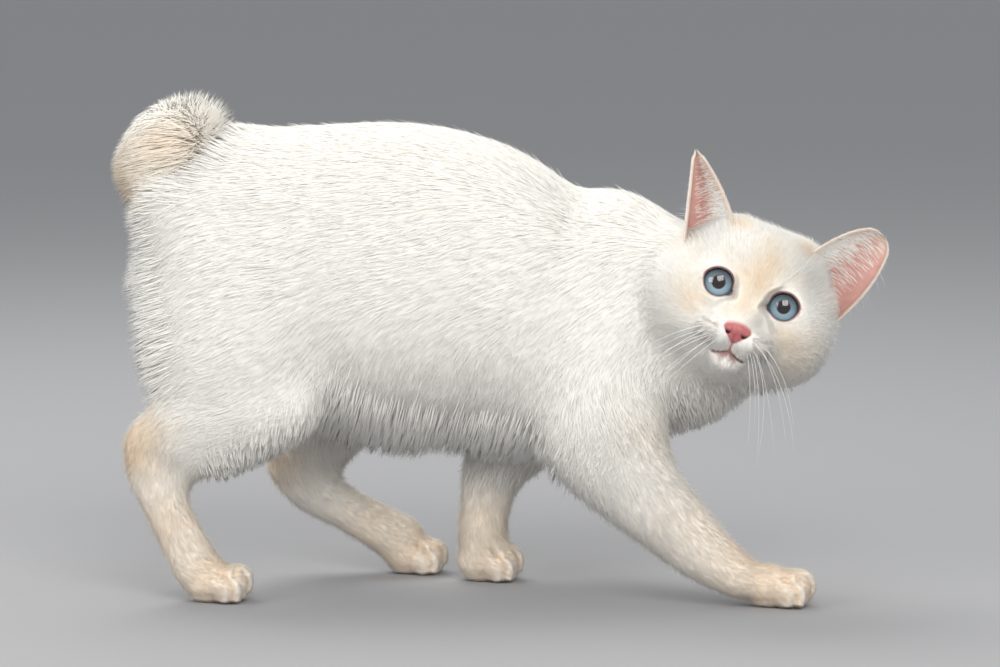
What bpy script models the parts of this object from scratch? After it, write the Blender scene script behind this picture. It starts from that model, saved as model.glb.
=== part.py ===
# A walking bobtail cat, life size, with its head turned to its right side.
# Metres, +Z up, +X towards the chest. The floor is Z = 0, and the origin is the
# middle of the model's outline on the floor. Sizes below are in millimetres,
# which MM turns into metres, and a place is X, Y, Z from the point on the floor
# that is under the middle of the back. The head has a frame of its own.

import math
import random

import bmesh
import bpy
from mathutils import Euler, Matrix, Vector
from mathutils.bvhtree import BVHTree

MM = 0.001

# Gap that touching pieces keep
GAP = 0.3

# The head's place, turn and tilt. Its frame starts midway between the eyes:
# +X to the cat's right, +Y out of the face, +Z up
HEAD_PLACE = (132.4, -62.0, 168.1)
HEAD_TURN = 176.5
HEAD_LIFT = 5.8
HEAD_TILT = -20.8

EYE_SPACING = 36.6
EYE_RADIUS = 10.8
EYE_GAP = 0.35
LID_THICKNESS = 1.5
EYE_OPENING = (8.1, 7.8)
EYE_DEPTH = 1.2
NOSE_WIDTH = 15.4
NOSE_TOP = -17.0
NOSE_POINT = -26.6
NOSTRIL_SPACING = 8.4
MOUTH_MIDDLE = -31.4
MOUTH_HALF = 11.0
MOUTH_GROOVE = 0.9
EAR_WALL = 2.0

# Each ear by its inner base, outer base and tip, then how far its inner and outer
# edges bow out
EARS = {
    "ear_right": ((15.5, -7, 31), (42.5, -16, 16), (54.5, -22, 60.5), (-1, 0, 1), (1, -1, 3)),
    "ear_left": ((-16, -7, 31), (-48, -15, 10), (-55, -20, 53.5), (-1, 0, 5), (-3.5, 1, -1)),
}
EAR_CUP = {"ear_right": 17.0, "ear_left": 15.0}
EAR_TIP_HALF = {"ear_right": 2.2, "ear_left": 6.5}

# The tuft of the tail: where its hair springs from, the core round that, and the
# ellipsoid that the tips of its locks reach
TAIL_ROOT = (-168, 0, 233)
TAIL_CORE_MIDDLE = (-180, 0, 244)
TAIL_CORE = (15, 13.5, 16)
TAIL_MIDDLE = (-175, 0, 242)
TAIL_REACH = (36, 30, 35)
TAIL_LOCKS = 62
TAIL_RUMP_WAY = (0.82, 0, -0.57)
TAIL_RUMP_LIMIT = 0.45
LOCK_WIDTH = 14.5
LOCK_THICKNESS = 3.0
LOCK_SUNK = 5.0
LOCK_SPANS = 4
SEED = 14

VOXEL = 2.2
BODY_TRIANGLES = 6000
LIMB_FIRMNESS = 0.6
LIMB_TOP = 105
RING_SIDES = 24
EYE_SIDES = 20
EAR_ROWS = 7
EAR_SIDES = 8

# Limbs as stations of X, Y, Z, half width across and half depth in the side view
TRUNK = [
    (-167, 0, 184, 33, 48),
    (-161, 0, 185, 42, 63),
    (-151, 0, 184, 49, 75),
    (-136, 0, 179, 52, 78),
    (-110, 0, 175, 55, 81),
    (-62, 0, 171, 58, 87),
    (-28, 0, 165, 58, 87),
    (-4, 0, 157, 56, 82),
    (16, 0, 148, 53, 73),
    (36, 0, 147, 50, 73),
    (62, 0, 147, 46, 75),
    (80, 0, 145, 41, 65),
]
RUMP = (-173, 17, 190)
RUMP_SIZE = (30, 27, 44)
NECK = [
    (40, 0, 146, 40, 58),
    (62, 0, 149, 43, 71),
    (84, -5, 149, 42, 64),
    (103, -14, 151, 41, 57),
    (120, -28, 157, 38, 47),
    (136, -42, 158, 36, 45),
]
NEAR_FORE = [
    (54, -30, 152, 21, 33),
    (50, -37, 118, 22, 36),
    (57, -44, 90, 22, 37),
    (71, -49, 66, 19, 27),
    (92, -51, 44.5, 17, 21),
    (110, -52, 28, 15.5, 18),
    (128, -53, 15.5, 14.5, 13),
]
FAR_FORE = [
    (46, 28, 150, 20, 33),
    (30, 32, 112, 21, 34),
    (9, 33, 82, 18.5, 28),
    (-4, 31, 60, 15, 19.5),
    (-8.5, 29, 40, 13.5, 15.5),
    (-10, 28, 24, 13.5, 15),
    (-8, 28, 13, 14, 13),
]
NEAR_THIGH = [
    (-146, -24, 214, 20, 34),
    (-146, -32, 180, 24, 46),
    (-144, -36, 144, 24, 49),
    (-142, -38, 116, 21, 44),
]
FAR_THIGH = [
    (-138, 24, 210, 20, 34),
    (-128, 33, 172, 24, 44),
    (-114, 38, 136, 23, 43),
    (-102, 43, 106, 20, 32),
]
NEAR_SHANK = [
    (-112, -40, 108, 18, 21),
    (-132, -40, 101, 19, 25),
    (-155, -39, 93, 17, 26),
    (-177, -38, 88, 14.5, 25),
    (-190, -38, 86, 12, 18),
]
FAR_SHANK = [
    (-82, 46, 102, 17, 23),
    (-94, 48, 88, 17, 26),
    (-107, 50, 73, 15.5, 23),
    (-118, 52, 61, 12.5, 15),
]
NEAR_METATARSUS = [
    (-192, -38, 86, 11.5, 13),
    (-184, -38, 70, 12, 19),
    (-179, -38, 52, 12, 14.5),
    (-172, -38, 36, 12, 14),
    (-163, -38, 18, 13, 14.5),
]
FAR_METATARSUS = [
    (-121, 52, 62, 11.5, 13),
    (-107, 52, 50, 12, 16.5),
    (-88, 52, 37.5, 12, 14),
    (-69, 52, 27, 12.5, 14.5),
    (-55, 52, 19, 13.5, 15),
]

# Paws as the place under the middle, the way they point in degrees, and their size
PAWS = {
    "forepaw_right": ((148.5, -53), 0, 1.0),
    "forepaw_left": ((-6, 28), 0, 0.98),
    "hindpaw_right": ((-152, -38), 0, 1.0),
    "hindpaw_left": ((-47.5, 52), 0, 0.95),
}

# Where the body is parted. A leg is what lies in an upright prism, which runs from
# heel to toe on the floor and rises in an arc over the shoulder or hip. Given are the
# heel's and toe's X, the arc's middle X, half length and height, and the inner face's Y
LEG_CUTS = {
    "foreleg_right": (10, 190, 57, 45, 76, -15),
    "foreleg_left": (-27, 40, 24, 46, 68, 12),
    "hindleg_right": (-230, -120, -162, 70, 96, -14),
    "hindleg_left": (-160, -15, -126, 68, 92, 14),
}
ARC_FOOT = 75

# How far back and up each paw goes, where its box cuts the leg
WRIST = {
    "forepaw_right": (128, 60),
    "forepaw_left": (-60, 24),
    "hindpaw_right": (-230, 24),
    "hindpaw_left": (-64, 60),
}
FLOOR_CLEAR = -20

# The head's outline from above, in its own frame, and how far down and up it goes
HEAD_CUT = [(-90, -41), (34, -41), (52, 0), (60, 60), (-90, 60)]
HEAD_CUT_HEIGHTS = (-49, 90)

# Where the neck ends at the shoulders
COLLAR = (74, 0, 150)
COLLAR_LEAN = 16


def material(name, colour, roughness):
    """A plain surface finish."""
    made = bpy.data.materials.new(name)
    made.use_nodes = True
    shader = made.node_tree.nodes["Principled BSDF"]
    shader.inputs["Base Color"].default_value = (*colour, 1.0)
    shader.inputs["Roughness"].default_value = roughness
    shader.inputs["Metallic"].default_value = 0.0
    return made


def add_ball(mesh, centre, radii, turn=(0, 0, 0), detail=4):
    """An ellipsoid by its centre, half sizes and turn in degrees."""
    place = (
        Matrix.Translation(centre)
        @ Euler([math.radians(a) for a in turn]).to_matrix().to_4x4()
        @ Matrix.Diagonal((*radii, 1.0))
    )
    bmesh.ops.create_icosphere(mesh, subdivisions=detail, radius=1.0, matrix=place)


def add_eyeball(mesh, centre, radius):
    """A ball whose poles lie along the gaze."""
    place = Matrix.Translation(centre) @ Matrix.Rotation(math.radians(90), 4, "X")
    bmesh.ops.create_uvsphere(
        mesh, u_segments=EYE_SIDES, v_segments=EYE_SIDES // 2, radius=radius, matrix=place
    )


def smooth_values(values, steps):
    """A smooth run through the given vectors, with steps to each span."""
    ends = [2 * values[0] - values[1], *values, 2 * values[-1] - values[-2]]
    out = []
    for a, b, c, d in zip(ends, ends[1:], ends[2:], ends[3:]):
        for k in range(steps):
            t = k / steps
            out.append(
                0.5 * (2 * b + (c - a) * t + (2 * a - 5 * b + 4 * c - d) * t * t
                       + (3 * b - a - 3 * c + d) * t * t * t)
            )
    out.append(values[-1])
    return out


def rounded_end(ring, way):
    """Smaller and smaller rings past a limb's last full ring."""
    centre, along, across, deep, wide, high = ring
    reach = min(wide, high)
    return [
        (centre + along * (way * reach * math.sin(a)), along, across, deep,
         wide * math.cos(a), high * math.cos(a))
        for a in map(math.radians, (30, 55, 75, 87))
    ]


def add_loft(mesh, stations, steps=4, sides=RING_SIDES, belly=0.0, side=(0, 1, 0)):
    """A rounded limb through its stations. Its rings' width lies along side, and a belly
    makes their lower half the wider one."""
    run = smooth_values([Vector(s) for s in stations], steps)
    centres = [Vector(v[:3]) for v in run]
    rings = []
    for i, (centre, values) in enumerate(zip(centres, run)):
        before, after = centres[max(i - 1, 0)], centres[min(i + 1, len(centres) - 1)]
        along = (after - before).normalized()
        across = (Vector(side) - along * along.dot(Vector(side))).normalized()
        rings.append((centre, along, across, along.cross(across), values[3], values[4]))
    rings = rounded_end(rings[0], -1)[::-1] + rings + rounded_end(rings[-1], 1)
    loops = []
    for centre, along, across, deep, wide, high in rings:
        up = 1 if deep.z > 0 else -1
        loop = []
        for k in range(sides):
            turn = 2 * math.pi * k / sides
            half = wide * (1 - belly * up * math.sin(turn))
            offset = across * half * math.cos(turn) + deep * high * math.sin(turn)
            loop.append(mesh.verts.new(centre + offset))
        loops.append(loop)
    for one, two in zip(loops, loops[1:]):
        for k in range(sides):
            n = (k + 1) % sides
            mesh.faces.new((one[k], one[n], two[n], two[k]))
    mesh.faces.new(loops[0][::-1])
    mesh.faces.new(loops[-1])


def object_from(mesh, name, place=Matrix()):
    """A scene object in metres from a bmesh in millimetres, which is freed."""
    mesh.transform(Matrix.Scale(MM, 4) @ place)
    bmesh.ops.recalc_face_normals(mesh, faces=mesh.faces)
    bmesh.ops.triangulate(mesh, faces=mesh.faces)
    data = bpy.data.meshes.new(name)
    mesh.to_mesh(data)
    mesh.free()
    made = bpy.data.objects.new(name, data)
    bpy.context.scene.collection.objects.link(made)
    return made


def apply_modifiers(made):
    """Swaps the object's mesh for its evaluated one."""
    graph = bpy.context.evaluated_depsgraph_get()
    data = bpy.data.meshes.new_from_object(made.evaluated_get(graph))
    made.modifiers.clear()
    made.data = data


def face_groups(mesh):
    """The mesh's faces, one set for each closed surface, parted where two only touch."""
    left = set(mesh.faces)
    groups = []
    while left:
        group = set()
        front = [left.pop()]
        while front:
            face = front.pop()
            group.add(face)
            for edge in face.edges:
                for other in edge.link_faces:
                    if len(edge.link_faces) == 2 and other in left:
                        left.discard(other)
                        front.append(other)
        groups.append(group)
    return groups


def volume(faces):
    """The volume that triangles enclose."""
    total = 0.0
    for face in faces:
        a, b, c = (v.co for v in face.verts)
        total += a.dot(b.cross(c)) / 6
    return abs(total)


def keep_largest(made):
    """Drops every closed surface but the one with the most volume."""
    mesh = bmesh.new()
    mesh.from_mesh(made.data)
    bmesh.ops.dissolve_degenerate(mesh, edges=mesh.edges, dist=0.002 * MM)
    bmesh.ops.triangulate(mesh, faces=mesh.faces)
    keep = max(face_groups(mesh), key=volume)
    bmesh.ops.delete(mesh, geom=[f for f in mesh.faces if f not in keep], context="FACES")
    mesh.to_mesh(made.data)
    mesh.free()


def combine(made, operation, others, solver="EXACT"):
    """Joins to, cuts from or keeps of an object what closed objects hold. They are used up."""
    tools = bpy.data.collections.new("tools")
    bpy.context.scene.collection.children.link(tools)
    for other in others:
        bpy.context.scene.collection.objects.unlink(other)
        tools.objects.link(other)
    step = made.modifiers.new(operation, "BOOLEAN")
    step.operation = operation
    step.operand_type = "COLLECTION"
    step.collection = tools
    step.solver = solver
    apply_modifiers(made)
    for other in others:
        bpy.data.objects.remove(other)
    bpy.data.collections.remove(tools)
    keep_largest(made)


def copy_of(made, name, grow=0.0):
    """A second object with its own mesh, its surface pushed out by grow."""
    twin = made.copy()
    twin.data = made.data.copy()
    twin.name = name
    bpy.context.scene.collection.objects.link(twin)
    if grow:
        mesh = bmesh.new()
        mesh.from_mesh(twin.data)
        mesh.normal_update()
        moves = [(v, v.normal * v.calc_shell_factor() * grow * MM) for v in mesh.verts]
        for v, move in moves:
            v.co += move
        mesh.to_mesh(twin.data)
        mesh.free()
    return twin


def part_off(body, region, name):
    """Takes what lies in the region off the body, with the gap between them."""
    piece = copy_of(body, name)
    combine(piece, "INTERSECT", [copy_of(region, "tool")])
    combine(body, "DIFFERENCE", [copy_of(region, "tool", GAP)])
    bpy.data.objects.remove(region)
    return piece


def head_frame():
    """The head's place as a matrix, in millimetres."""
    return (
        Matrix.Translation(HEAD_PLACE)
        @ Matrix.Rotation(math.radians(HEAD_TURN), 4, "Z")
        @ Matrix.Rotation(math.radians(HEAD_LIFT), 4, "X")
        @ Matrix.Rotation(math.radians(HEAD_TILT), 4, "Y")
    )


def add_paw(mesh, place, heading, size):
    """A paw with four toes and its pads on the floor."""
    ahead = Vector((math.cos(math.radians(heading)), math.sin(math.radians(heading)), 0))
    aside = Vector((-ahead.y, ahead.x, 0))
    middle = Vector((*place, 0))
    add_ball(mesh, middle - ahead * 5 * size + Vector((0, 0, 11.5 * size)),
             (15 * size, 13.5 * size, 12.5 * size), (0, 0, heading), 3)
    for across, reach, height in ((-11.0, 7.5, 9.5), (-4.2, 12.0, 11), (4.2, 12.0, 11), (11.0, 7.5, 9.5)):
        centre = middle + (ahead * reach + aside * across) * size + Vector((0, 0, height * size))
        add_ball(mesh, centre, (10.0 * size, 5.9 * size, 10.8 * size), (0, 14, heading + across * 1.2), 3)


def add_skull(mesh):
    """Cranium, brow, bridge, cheeks, muzzle and chin, in the head's frame."""
    half = EYE_SPACING / 2
    add_ball(mesh, (0, -29, 7), (40, 38, 32))
    add_ball(mesh, (0, -9, 14), (31, 19, 23))
    add_ball(mesh, (0, -16, -27), (34, 31, 22))
    add_ball(mesh, (0, 5, -20), (22, 20, 14))
    add_ball(mesh, (0, 13.5, -37.5), (11, 11, 9.5))
    add_ball(mesh, (0, 9, -28), (18, 13, 11))
    add_loft(mesh, [(0, 0, 15, 14, 8), (0, 6, 3, 11, 8), (0, 15, -9, 9.5, 8), (0, 22, -18, 8, 7)],
             side=(1, 0, 0))
    for way in (-1, 1):
        add_ball(mesh, (way * 17, -24, 22), (20, 19, 18.5))
        add_ball(mesh, (way * 26, -18, -13), (26.5, 28, 31))
        add_ball(mesh, (way * 33, -26, 4), (17, 18, 17))
        add_ball(mesh, (way * 11, 14.5, -24.5), (13, 13, 9.5))
        add_ball(mesh, (way * half, -4.5, 2), (15, 13, 14))
        add_ball(mesh, (way * 17, 3, -14), (14, 13, 13))
        add_ball(mesh, (way * 20, 2, -24), (13, 13, 13))


def near_any(point, places, radius):
    """1 close to any of the places, falling to 0 past the radius."""
    distance = min((point - place).length for place in places)
    return max(0.0, min(1.0, 2.0 - 1.6 * distance / radius))


def whole_body():
    """The cat without its tail as one closed surface, before it is parted."""
    mesh = bmesh.new()
    add_skull(mesh)
    mesh.transform(head_frame())
    add_loft(mesh, TRUNK, belly=0.1)
    for way in (-1, 1):
        add_ball(mesh, (RUMP[0], way * RUMP[1], RUMP[2]), RUMP_SIZE)
    for stations in (NECK, NEAR_FORE, FAR_FORE, NEAR_THIGH, FAR_THIGH, NEAR_SHANK, FAR_SHANK,
                     NEAR_METATARSUS, FAR_METATARSUS):
        add_loft(mesh, stations)
    for place, heading, size in PAWS.values():
        add_paw(mesh, place, heading, size)
    body = object_from(mesh, "torso")
    fuse = body.modifiers.new("fuse", "REMESH")
    fuse.mode = "VOXEL"
    fuse.voxel_size = VOXEL * MM
    apply_modifiers(body)
    face = head_frame() @ Vector((0, 8, -14)) * MM
    paws = [Vector((*place, 8)) * MM for place, heading, size in PAWS.values()]
    soft = body.vertex_groups.new(name="soft")
    fine = body.vertex_groups.new(name="fine")
    for v in body.data.vertices:
        on_face, on_paw = near_any(v.co, [face], 46 * MM), near_any(v.co, paws, 30 * MM)
        on_limb = LIMB_FIRMNESS * max(0.0, min(1.0, (LIMB_TOP * MM - v.co.z) / (25 * MM)))
        soft.add([v.index], 1.0 - max(0.86 * on_face, 0.92 * on_paw, on_limb), "REPLACE")
        fine.add([v.index], max(0.6 * on_face, 0.3 * on_paw), "REPLACE")
    smooth = body.modifiers.new("smooth", "SMOOTH")
    smooth.factor = 0.6
    smooth.iterations = 32
    smooth.vertex_group = "soft"
    apply_modifiers(body)
    thin = body.modifiers.new("thin", "DECIMATE")
    thin.ratio = BODY_TRIANGLES / (2 * len(body.data.polygons))
    thin.vertex_group = "fine"
    thin.vertex_group_factor = 0.01
    thin.invert_vertex_group = True
    apply_modifiers(body)
    body.vertex_groups.clear()
    for v in body.data.vertices:
        v.co.z = max(v.co.z, 0.0)
    return body


def box_object(name, low, high, place=Matrix()):
    """A closed box between two corners, for cutting."""
    mesh = bmesh.new()
    size = Vector(high) - Vector(low)
    middle = (Vector(high) + Vector(low)) / 2
    bmesh.ops.create_cube(mesh, size=1, matrix=Matrix.Translation(middle) @ Matrix.Diagonal((*size, 1)))
    return object_from(mesh, name, place)


def prism_object(name, outline, along, place=Matrix()):
    """A closed prism from an outline and the way it is drawn out, for cutting."""
    mesh = bmesh.new()
    near = [mesh.verts.new(p) for p in outline]
    far = [mesh.verts.new(p + along) for p in outline]
    mesh.faces.new(near)
    mesh.faces.new(far[::-1])
    for k in range(len(outline)):
        n = (k + 1) % len(outline)
        mesh.faces.new((near[k], far[k], far[n], near[n]))
    return object_from(mesh, name, place)


def leg_region(name):
    """The upright prism that holds a leg, with an arched top."""
    heel, toe, x, half, height, inner = LEG_CUTS[name]
    ends = [(toe, FLOOR_CLEAR), (toe, ARC_FOOT)] if toe > x + half else [(x + half, FLOOR_CLEAR)]
    arc = [
        (x + half * math.cos(a), ARC_FOOT + height * math.sin(a))
        for a in (math.pi * k / 16 for k in range(17))
    ]
    tail = [(heel, ARC_FOOT), (heel, FLOOR_CLEAR)] if heel < x - half else [(x - half, FLOOR_CLEAR)]
    outline = [Vector((px, inner, pz)) for px, pz in ends + arc + tail]
    return prism_object("region", outline, Vector((0, math.copysign(110, inner), 0)))


def wrist_region(name):
    """A box round a paw, up to the wrist or ankle."""
    (x, y), heading, size = PAWS[name]
    back, top = WRIST[name]
    return box_object("region", (back, y - 30, FLOOR_CLEAR), (x + 40, y + 30, top))


def ear_mesh(name):
    """A cupped ear: two walls between its front edges that bow round its back, in the
    head's frame. It narrows to a rounded tip."""
    inner, outer, tip, bow_in, bow_out = (Vector(v) for v in EARS[name])
    tip_half = EAR_TIP_HALF[name]
    back = Vector((0.25 * math.copysign(1, tip.x), -1, -0.15)).normalized()
    sink = Vector((0, 0, -7))
    mesh = bmesh.new()
    walls = []
    for inset in (0, EAR_WALL):
        rows = []
        for i in range(EAR_ROWS + 1):
            up = i / EAR_ROWS
            across = (outer - inner).normalized()
            edge_in = (inner + sink * (1 - up)).lerp(tip - across * tip_half, up)
            edge_out = (outer + sink * (1 - up)).lerp(tip + across * tip_half, up)
            edge_in += bow_in * math.sin(math.pi * up)
            edge_out += bow_out * math.sin(math.pi * up)
            middle = (edge_in + edge_out) / 2
            half = (edge_out - edge_in) / 2
            reach = EAR_CUP[name] * (1 - up) ** 0.7 + 3.0
            shrink = 1 - inset / max(half.length, inset * 1.6)
            row = []
            for k in range(EAR_SIDES + 1):
                turn = math.pi * k / EAR_SIDES
                point = middle - half * shrink * math.cos(turn)
                point += back * (reach - inset) * math.sin(turn)
                row.append(mesh.verts.new(point - (tip - middle).normalized() * inset * (i == EAR_ROWS)))
            rows.append(row)
        walls.append(rows)
    bridge_walls(mesh, walls)
    return mesh


def bridge_walls(mesh, walls):
    """Faces for two walls of rows of points, joined all round their edges."""
    outside, inside = walls
    rows, columns = len(outside), len(outside[0])

    def quad(a, b, c, d):
        mesh.faces.new((a, b, c))
        mesh.faces.new((a, c, d))

    for i in range(rows - 1):
        for k in range(columns - 1):
            quad(outside[i][k], outside[i][k + 1], outside[i + 1][k + 1], outside[i + 1][k])
            quad(inside[i][k], inside[i + 1][k], inside[i + 1][k + 1], inside[i][k + 1])
        for k in (0, columns - 1):
            quad(outside[i][k], outside[i + 1][k], inside[i + 1][k], inside[i][k])
    for k in range(columns - 1):
        for i in (0, rows - 1):
            quad(outside[i][k], outside[i][k + 1], inside[i][k + 1], inside[i][k])


def surface_run(head, points, depth):
    """Points on the face that lie in front of the given X, Z pairs, sunk by the depth."""
    mesh = bmesh.new()
    mesh.from_mesh(head.data)
    mesh.transform((Matrix.Scale(MM, 4) @ head_frame()).inverted())
    tree = BVHTree.FromBMesh(mesh)
    found = []
    for x, z in points:
        hit = tree.ray_cast(Vector((x, 80, z)), Vector((0, -1, 0)))[0]
        found.append((x, hit.y - depth, z))
    mesh.free()
    return found


def mouth_tools(head, place):
    """Thin tubes that cut the philtrum and the line of the mouth."""
    tools = []
    lines = [[(0, NOSE_POINT + 2.5), (0, NOSE_POINT - 1.5), (0, MOUTH_MIDDLE)]]
    lines.append([
        (MOUTH_HALF * t, MOUTH_MIDDLE - 3.6 * math.sin(math.pi * min(abs(t), 0.75) ** 0.8))
        for t in (k / 6 for k in range(-6, 7))
    ])
    for line in lines:
        run = surface_run(head, line, 0.1)
        mesh = bmesh.new()
        add_loft(mesh, [(*p, MOUTH_GROOVE, MOUTH_GROOVE * 0.8) for p in run], 2, 6, side=(0.1, 1, 0.05))
        tools.append(object_from(mesh, "tool", place))
    return tools


def finish_face(head, place):
    """Lids, eyes, nose leather, nostrils and mouth. It returns the new pieces."""
    pieces = []
    sockets, openings, lids = [], [], []
    for way, name in ((1, "eye_right"), (-1, "eye_left")):
        centre = Vector((way * EYE_SPACING / 2, -EYE_DEPTH, 0))
        hole = EYE_RADIUS + EYE_GAP
        for radius, into in ((hole + LID_THICKNESS, lids), (hole, sockets), (EYE_RADIUS, pieces)):
            mesh = bmesh.new()
            add_eyeball(mesh, centre, radius)
            into.append(object_from(mesh, name if into is pieces else "tool", place))
        mesh = bmesh.new()
        wide, high = EYE_OPENING
        cone = Matrix.Translation(centre + Vector((0, 14, 0))) @ Matrix.Rotation(math.radians(-90), 4, "X")
        bmesh.ops.create_cone(mesh, cap_ends=True, segments=EYE_SIDES, radius1=0.88, radius2=1.35,
                              depth=18, matrix=cone @ Matrix.Diagonal((wide, high, 1, 1)))
        openings.append(object_from(mesh, "tool", place))
    combine(head, "UNION", lids)
    combine(head, "DIFFERENCE", sockets + openings)
    combine(head, "DIFFERENCE", mouth_tools(head, place))

    half = NOSE_WIDTH / 2
    right = [(half * 0.72, NOSE_TOP), (half, NOSE_TOP - 1.6), (half * 0.92, NOSE_TOP - 4.4), (2.2, NOSE_POINT)]
    outline = right + [(-x, z) for x, z in right[::-1]]
    region = prism_object("region", [Vector((x, 21, z)) for x, z in outline], Vector((0, 30, 0)), place)
    nose = part_off(head, region, "nose")
    nostrils = []
    spots = [(way * NOSTRIL_SPACING / 2, NOSE_TOP - 5.2) for way in (-1, 1)]
    for x, y, z in surface_run(nose, spots, 0.6):
        mesh = bmesh.new()
        add_ball(mesh, (x, y, z), (2.3, 2.2, 1.1), (0, math.copysign(24, x), 0), 2)
        nostrils.append(object_from(mesh, "tool", place))
    combine(nose, "DIFFERENCE", nostrils)
    return [*pieces, nose]


def add_lock(mesh, run, flat, width, thickness):
    """A flat lock along a run of points, widest past its middle, that tapers to its tip."""
    rings = []
    for i, point in enumerate(run[:-1]):
        t = i / (len(run) - 1)
        along = (run[i + 1] - run[max(i - 1, 0)]).normalized()
        across = along.cross(flat).normalized()
        up = across.cross(along)
        half = width / 2 * (0.55 + 0.45 * math.sin(math.pi * min(t / 0.9, 1)))
        high = thickness / 2 * (1 - 0.55 * t)
        rings.append([
            mesh.verts.new(point + offset)
            for offset in (across * half, up * high, -across * half, -up * high)
        ])
    tip = mesh.verts.new(run[-1])
    mesh.faces.new(rings[0][::-1])
    for one, two in zip(rings, rings[1:]):
        for k in range(4):
            n = (k + 1) % 4
            mesh.faces.new((one[k], one[n], two[n]))
            mesh.faces.new((one[k], two[n], two[k]))
    for k in range(4):
        mesh.faces.new((rings[-1][k], rings[-1][(k + 1) % 4], tip))


def tail_piece(torso):
    """The bobtail: a core, and overlapping locks that lie away from its root all round."""
    draw = random.Random(SEED)
    mesh = bmesh.new()
    add_ball(mesh, TAIL_CORE_MIDDLE, TAIL_CORE, detail=3)
    tail = object_from(mesh, "tail")
    root, core, middle = Vector(TAIL_ROOT), Vector(TAIL_CORE_MIDDLE), Vector(TAIL_MIDDLE)
    locks = []
    for i in range(TAIL_LOCKS):
        height = 1 - 2 * (i + 0.5) / TAIL_LOCKS
        turn = math.pi * (3 - math.sqrt(5)) * i
        ring = math.sqrt(1 - height * height)
        way = Vector((ring * math.cos(turn), ring * math.sin(turn), height))
        if way.dot(Vector(TAIL_RUMP_WAY)) > TAIL_RUMP_LIMIT:
            continue
        base = core + Vector(w * (r - LOCK_SUNK) for w, r in zip(way, TAIL_CORE))
        lie = (base - root).normalized()
        lie = (lie - way * lie.dot(way)) * 0.55
        aim = (way + lie + Vector([draw.uniform(-0.12, 0.12) for k in range(3)])).normalized()
        reach = draw.uniform(0.86, 1.04)
        tip = middle + Vector(w * r * reach for w, r in zip(aim, TAIL_REACH))
        bow = (way - aim * way.dot(aim)) * 5.0 + way * 1.5
        run = [
            base.lerp(tip, t) + bow * math.sin(math.pi * t)
            for t in (k / LOCK_SPANS for k in range(LOCK_SPANS + 1))
        ]
        flat = way + Vector([draw.uniform(-0.35, 0.35) for k in range(3)])
        lock = bmesh.new()
        add_lock(lock, run, flat, LOCK_WIDTH * draw.uniform(0.85, 1.1), LOCK_THICKNESS)
        locks.append(object_from(lock, "lock"))
    combine(tail, "UNION", locks, "MANIFOLD")
    combine(tail, "DIFFERENCE", [copy_of(torso, "tool", GAP)], "MANIFOLD")
    return tail


def centre_on_floor(pieces):
    """Moves everything so that the origin is the middle of the outline, on the floor."""
    bpy.context.view_layer.update()
    low = [min(v.co[k] for p in pieces for v in p.data.vertices) for k in (0, 1, 2)]
    high = [max(v.co[k] for p in pieces for v in p.data.vertices) for k in (0, 1)]
    shift = Vector((-(low[0] + high[0]) / 2, -(low[1] + high[1]) / 2, -low[2]))
    for piece in pieces:
        piece.data.transform(Matrix.Translation(shift))
    print("moved by", [round(v / MM, 3) for v in shift])


def main():
    for old in list(bpy.data.objects):
        bpy.data.objects.remove(old)
    place = head_frame()
    torso = whole_body()
    low, high = HEAD_CUT_HEIGHTS
    outline = [Vector((x, y, low)) for x, y in HEAD_CUT]
    region = prism_object("region", outline, Vector((0, 0, high - low)), place)
    head = part_off(torso, region, "head")
    coat = [torso, head]
    for name, paw in (("foreleg_right", "forepaw_right"), ("foreleg_left", "forepaw_left"),
                      ("hindleg_right", "hindpaw_right"), ("hindleg_left", "hindpaw_left")):
        leg = part_off(torso, leg_region(name), name)
        coat += [leg, part_off(leg, wrist_region(paw), paw)]
    lean = Matrix.Translation(COLLAR) @ Matrix.Rotation(math.radians(COLLAR_LEAN), 4, "Y")
    neck = part_off(torso, box_object("region", (0, -120, -150), (200, 120, 150), lean), "neck")
    coat += [neck, tail_piece(torso)]
    features = finish_face(head, place)
    for name in EARS:
        ear = object_from(ear_mesh(name), name, place)
        combine(ear, "DIFFERENCE", [copy_of(other, "tool", GAP) for other in (head, neck)])
        coat.append(ear)
    white = material("coat", (0.82, 0.78, 0.70), 0.8)
    for piece in coat:
        piece.data.materials.clear()
        piece.data.materials.append(white)
    for piece, finish in zip(features, (material("eye_blue", (0.25, 0.42, 0.55), 0.1),) * 2
                             + (material("nose_pink", (0.72, 0.36, 0.35), 0.5),)):
        piece.data.materials.clear()
        piece.data.materials.append(finish)
    centre_on_floor(coat + features)


main()
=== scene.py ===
# A white bobtail cat in mid step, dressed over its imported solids.
# Places in the dictionaries are millimetres from the same point as the solids' own.
import math

import bpy
import numpy as np
from mathutils import Matrix, Vector
from mathutils.bvhtree import BVHTree


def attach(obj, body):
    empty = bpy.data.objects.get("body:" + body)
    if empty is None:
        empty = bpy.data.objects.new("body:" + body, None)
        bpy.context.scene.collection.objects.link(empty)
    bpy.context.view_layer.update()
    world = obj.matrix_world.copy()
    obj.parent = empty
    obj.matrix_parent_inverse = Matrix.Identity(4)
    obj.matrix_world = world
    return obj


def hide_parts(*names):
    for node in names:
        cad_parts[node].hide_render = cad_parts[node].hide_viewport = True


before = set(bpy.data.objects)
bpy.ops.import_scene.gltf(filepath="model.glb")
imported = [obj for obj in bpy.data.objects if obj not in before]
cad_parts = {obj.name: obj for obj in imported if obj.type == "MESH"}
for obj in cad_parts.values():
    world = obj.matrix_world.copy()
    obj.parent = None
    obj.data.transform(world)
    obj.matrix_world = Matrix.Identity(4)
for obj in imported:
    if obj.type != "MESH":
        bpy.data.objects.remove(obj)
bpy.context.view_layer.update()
mm = 0.001
partShift = np.array((1.073, 11.702, 0.0))  # the part was centred on its floor outline
draw = np.random.default_rng(7)

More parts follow.
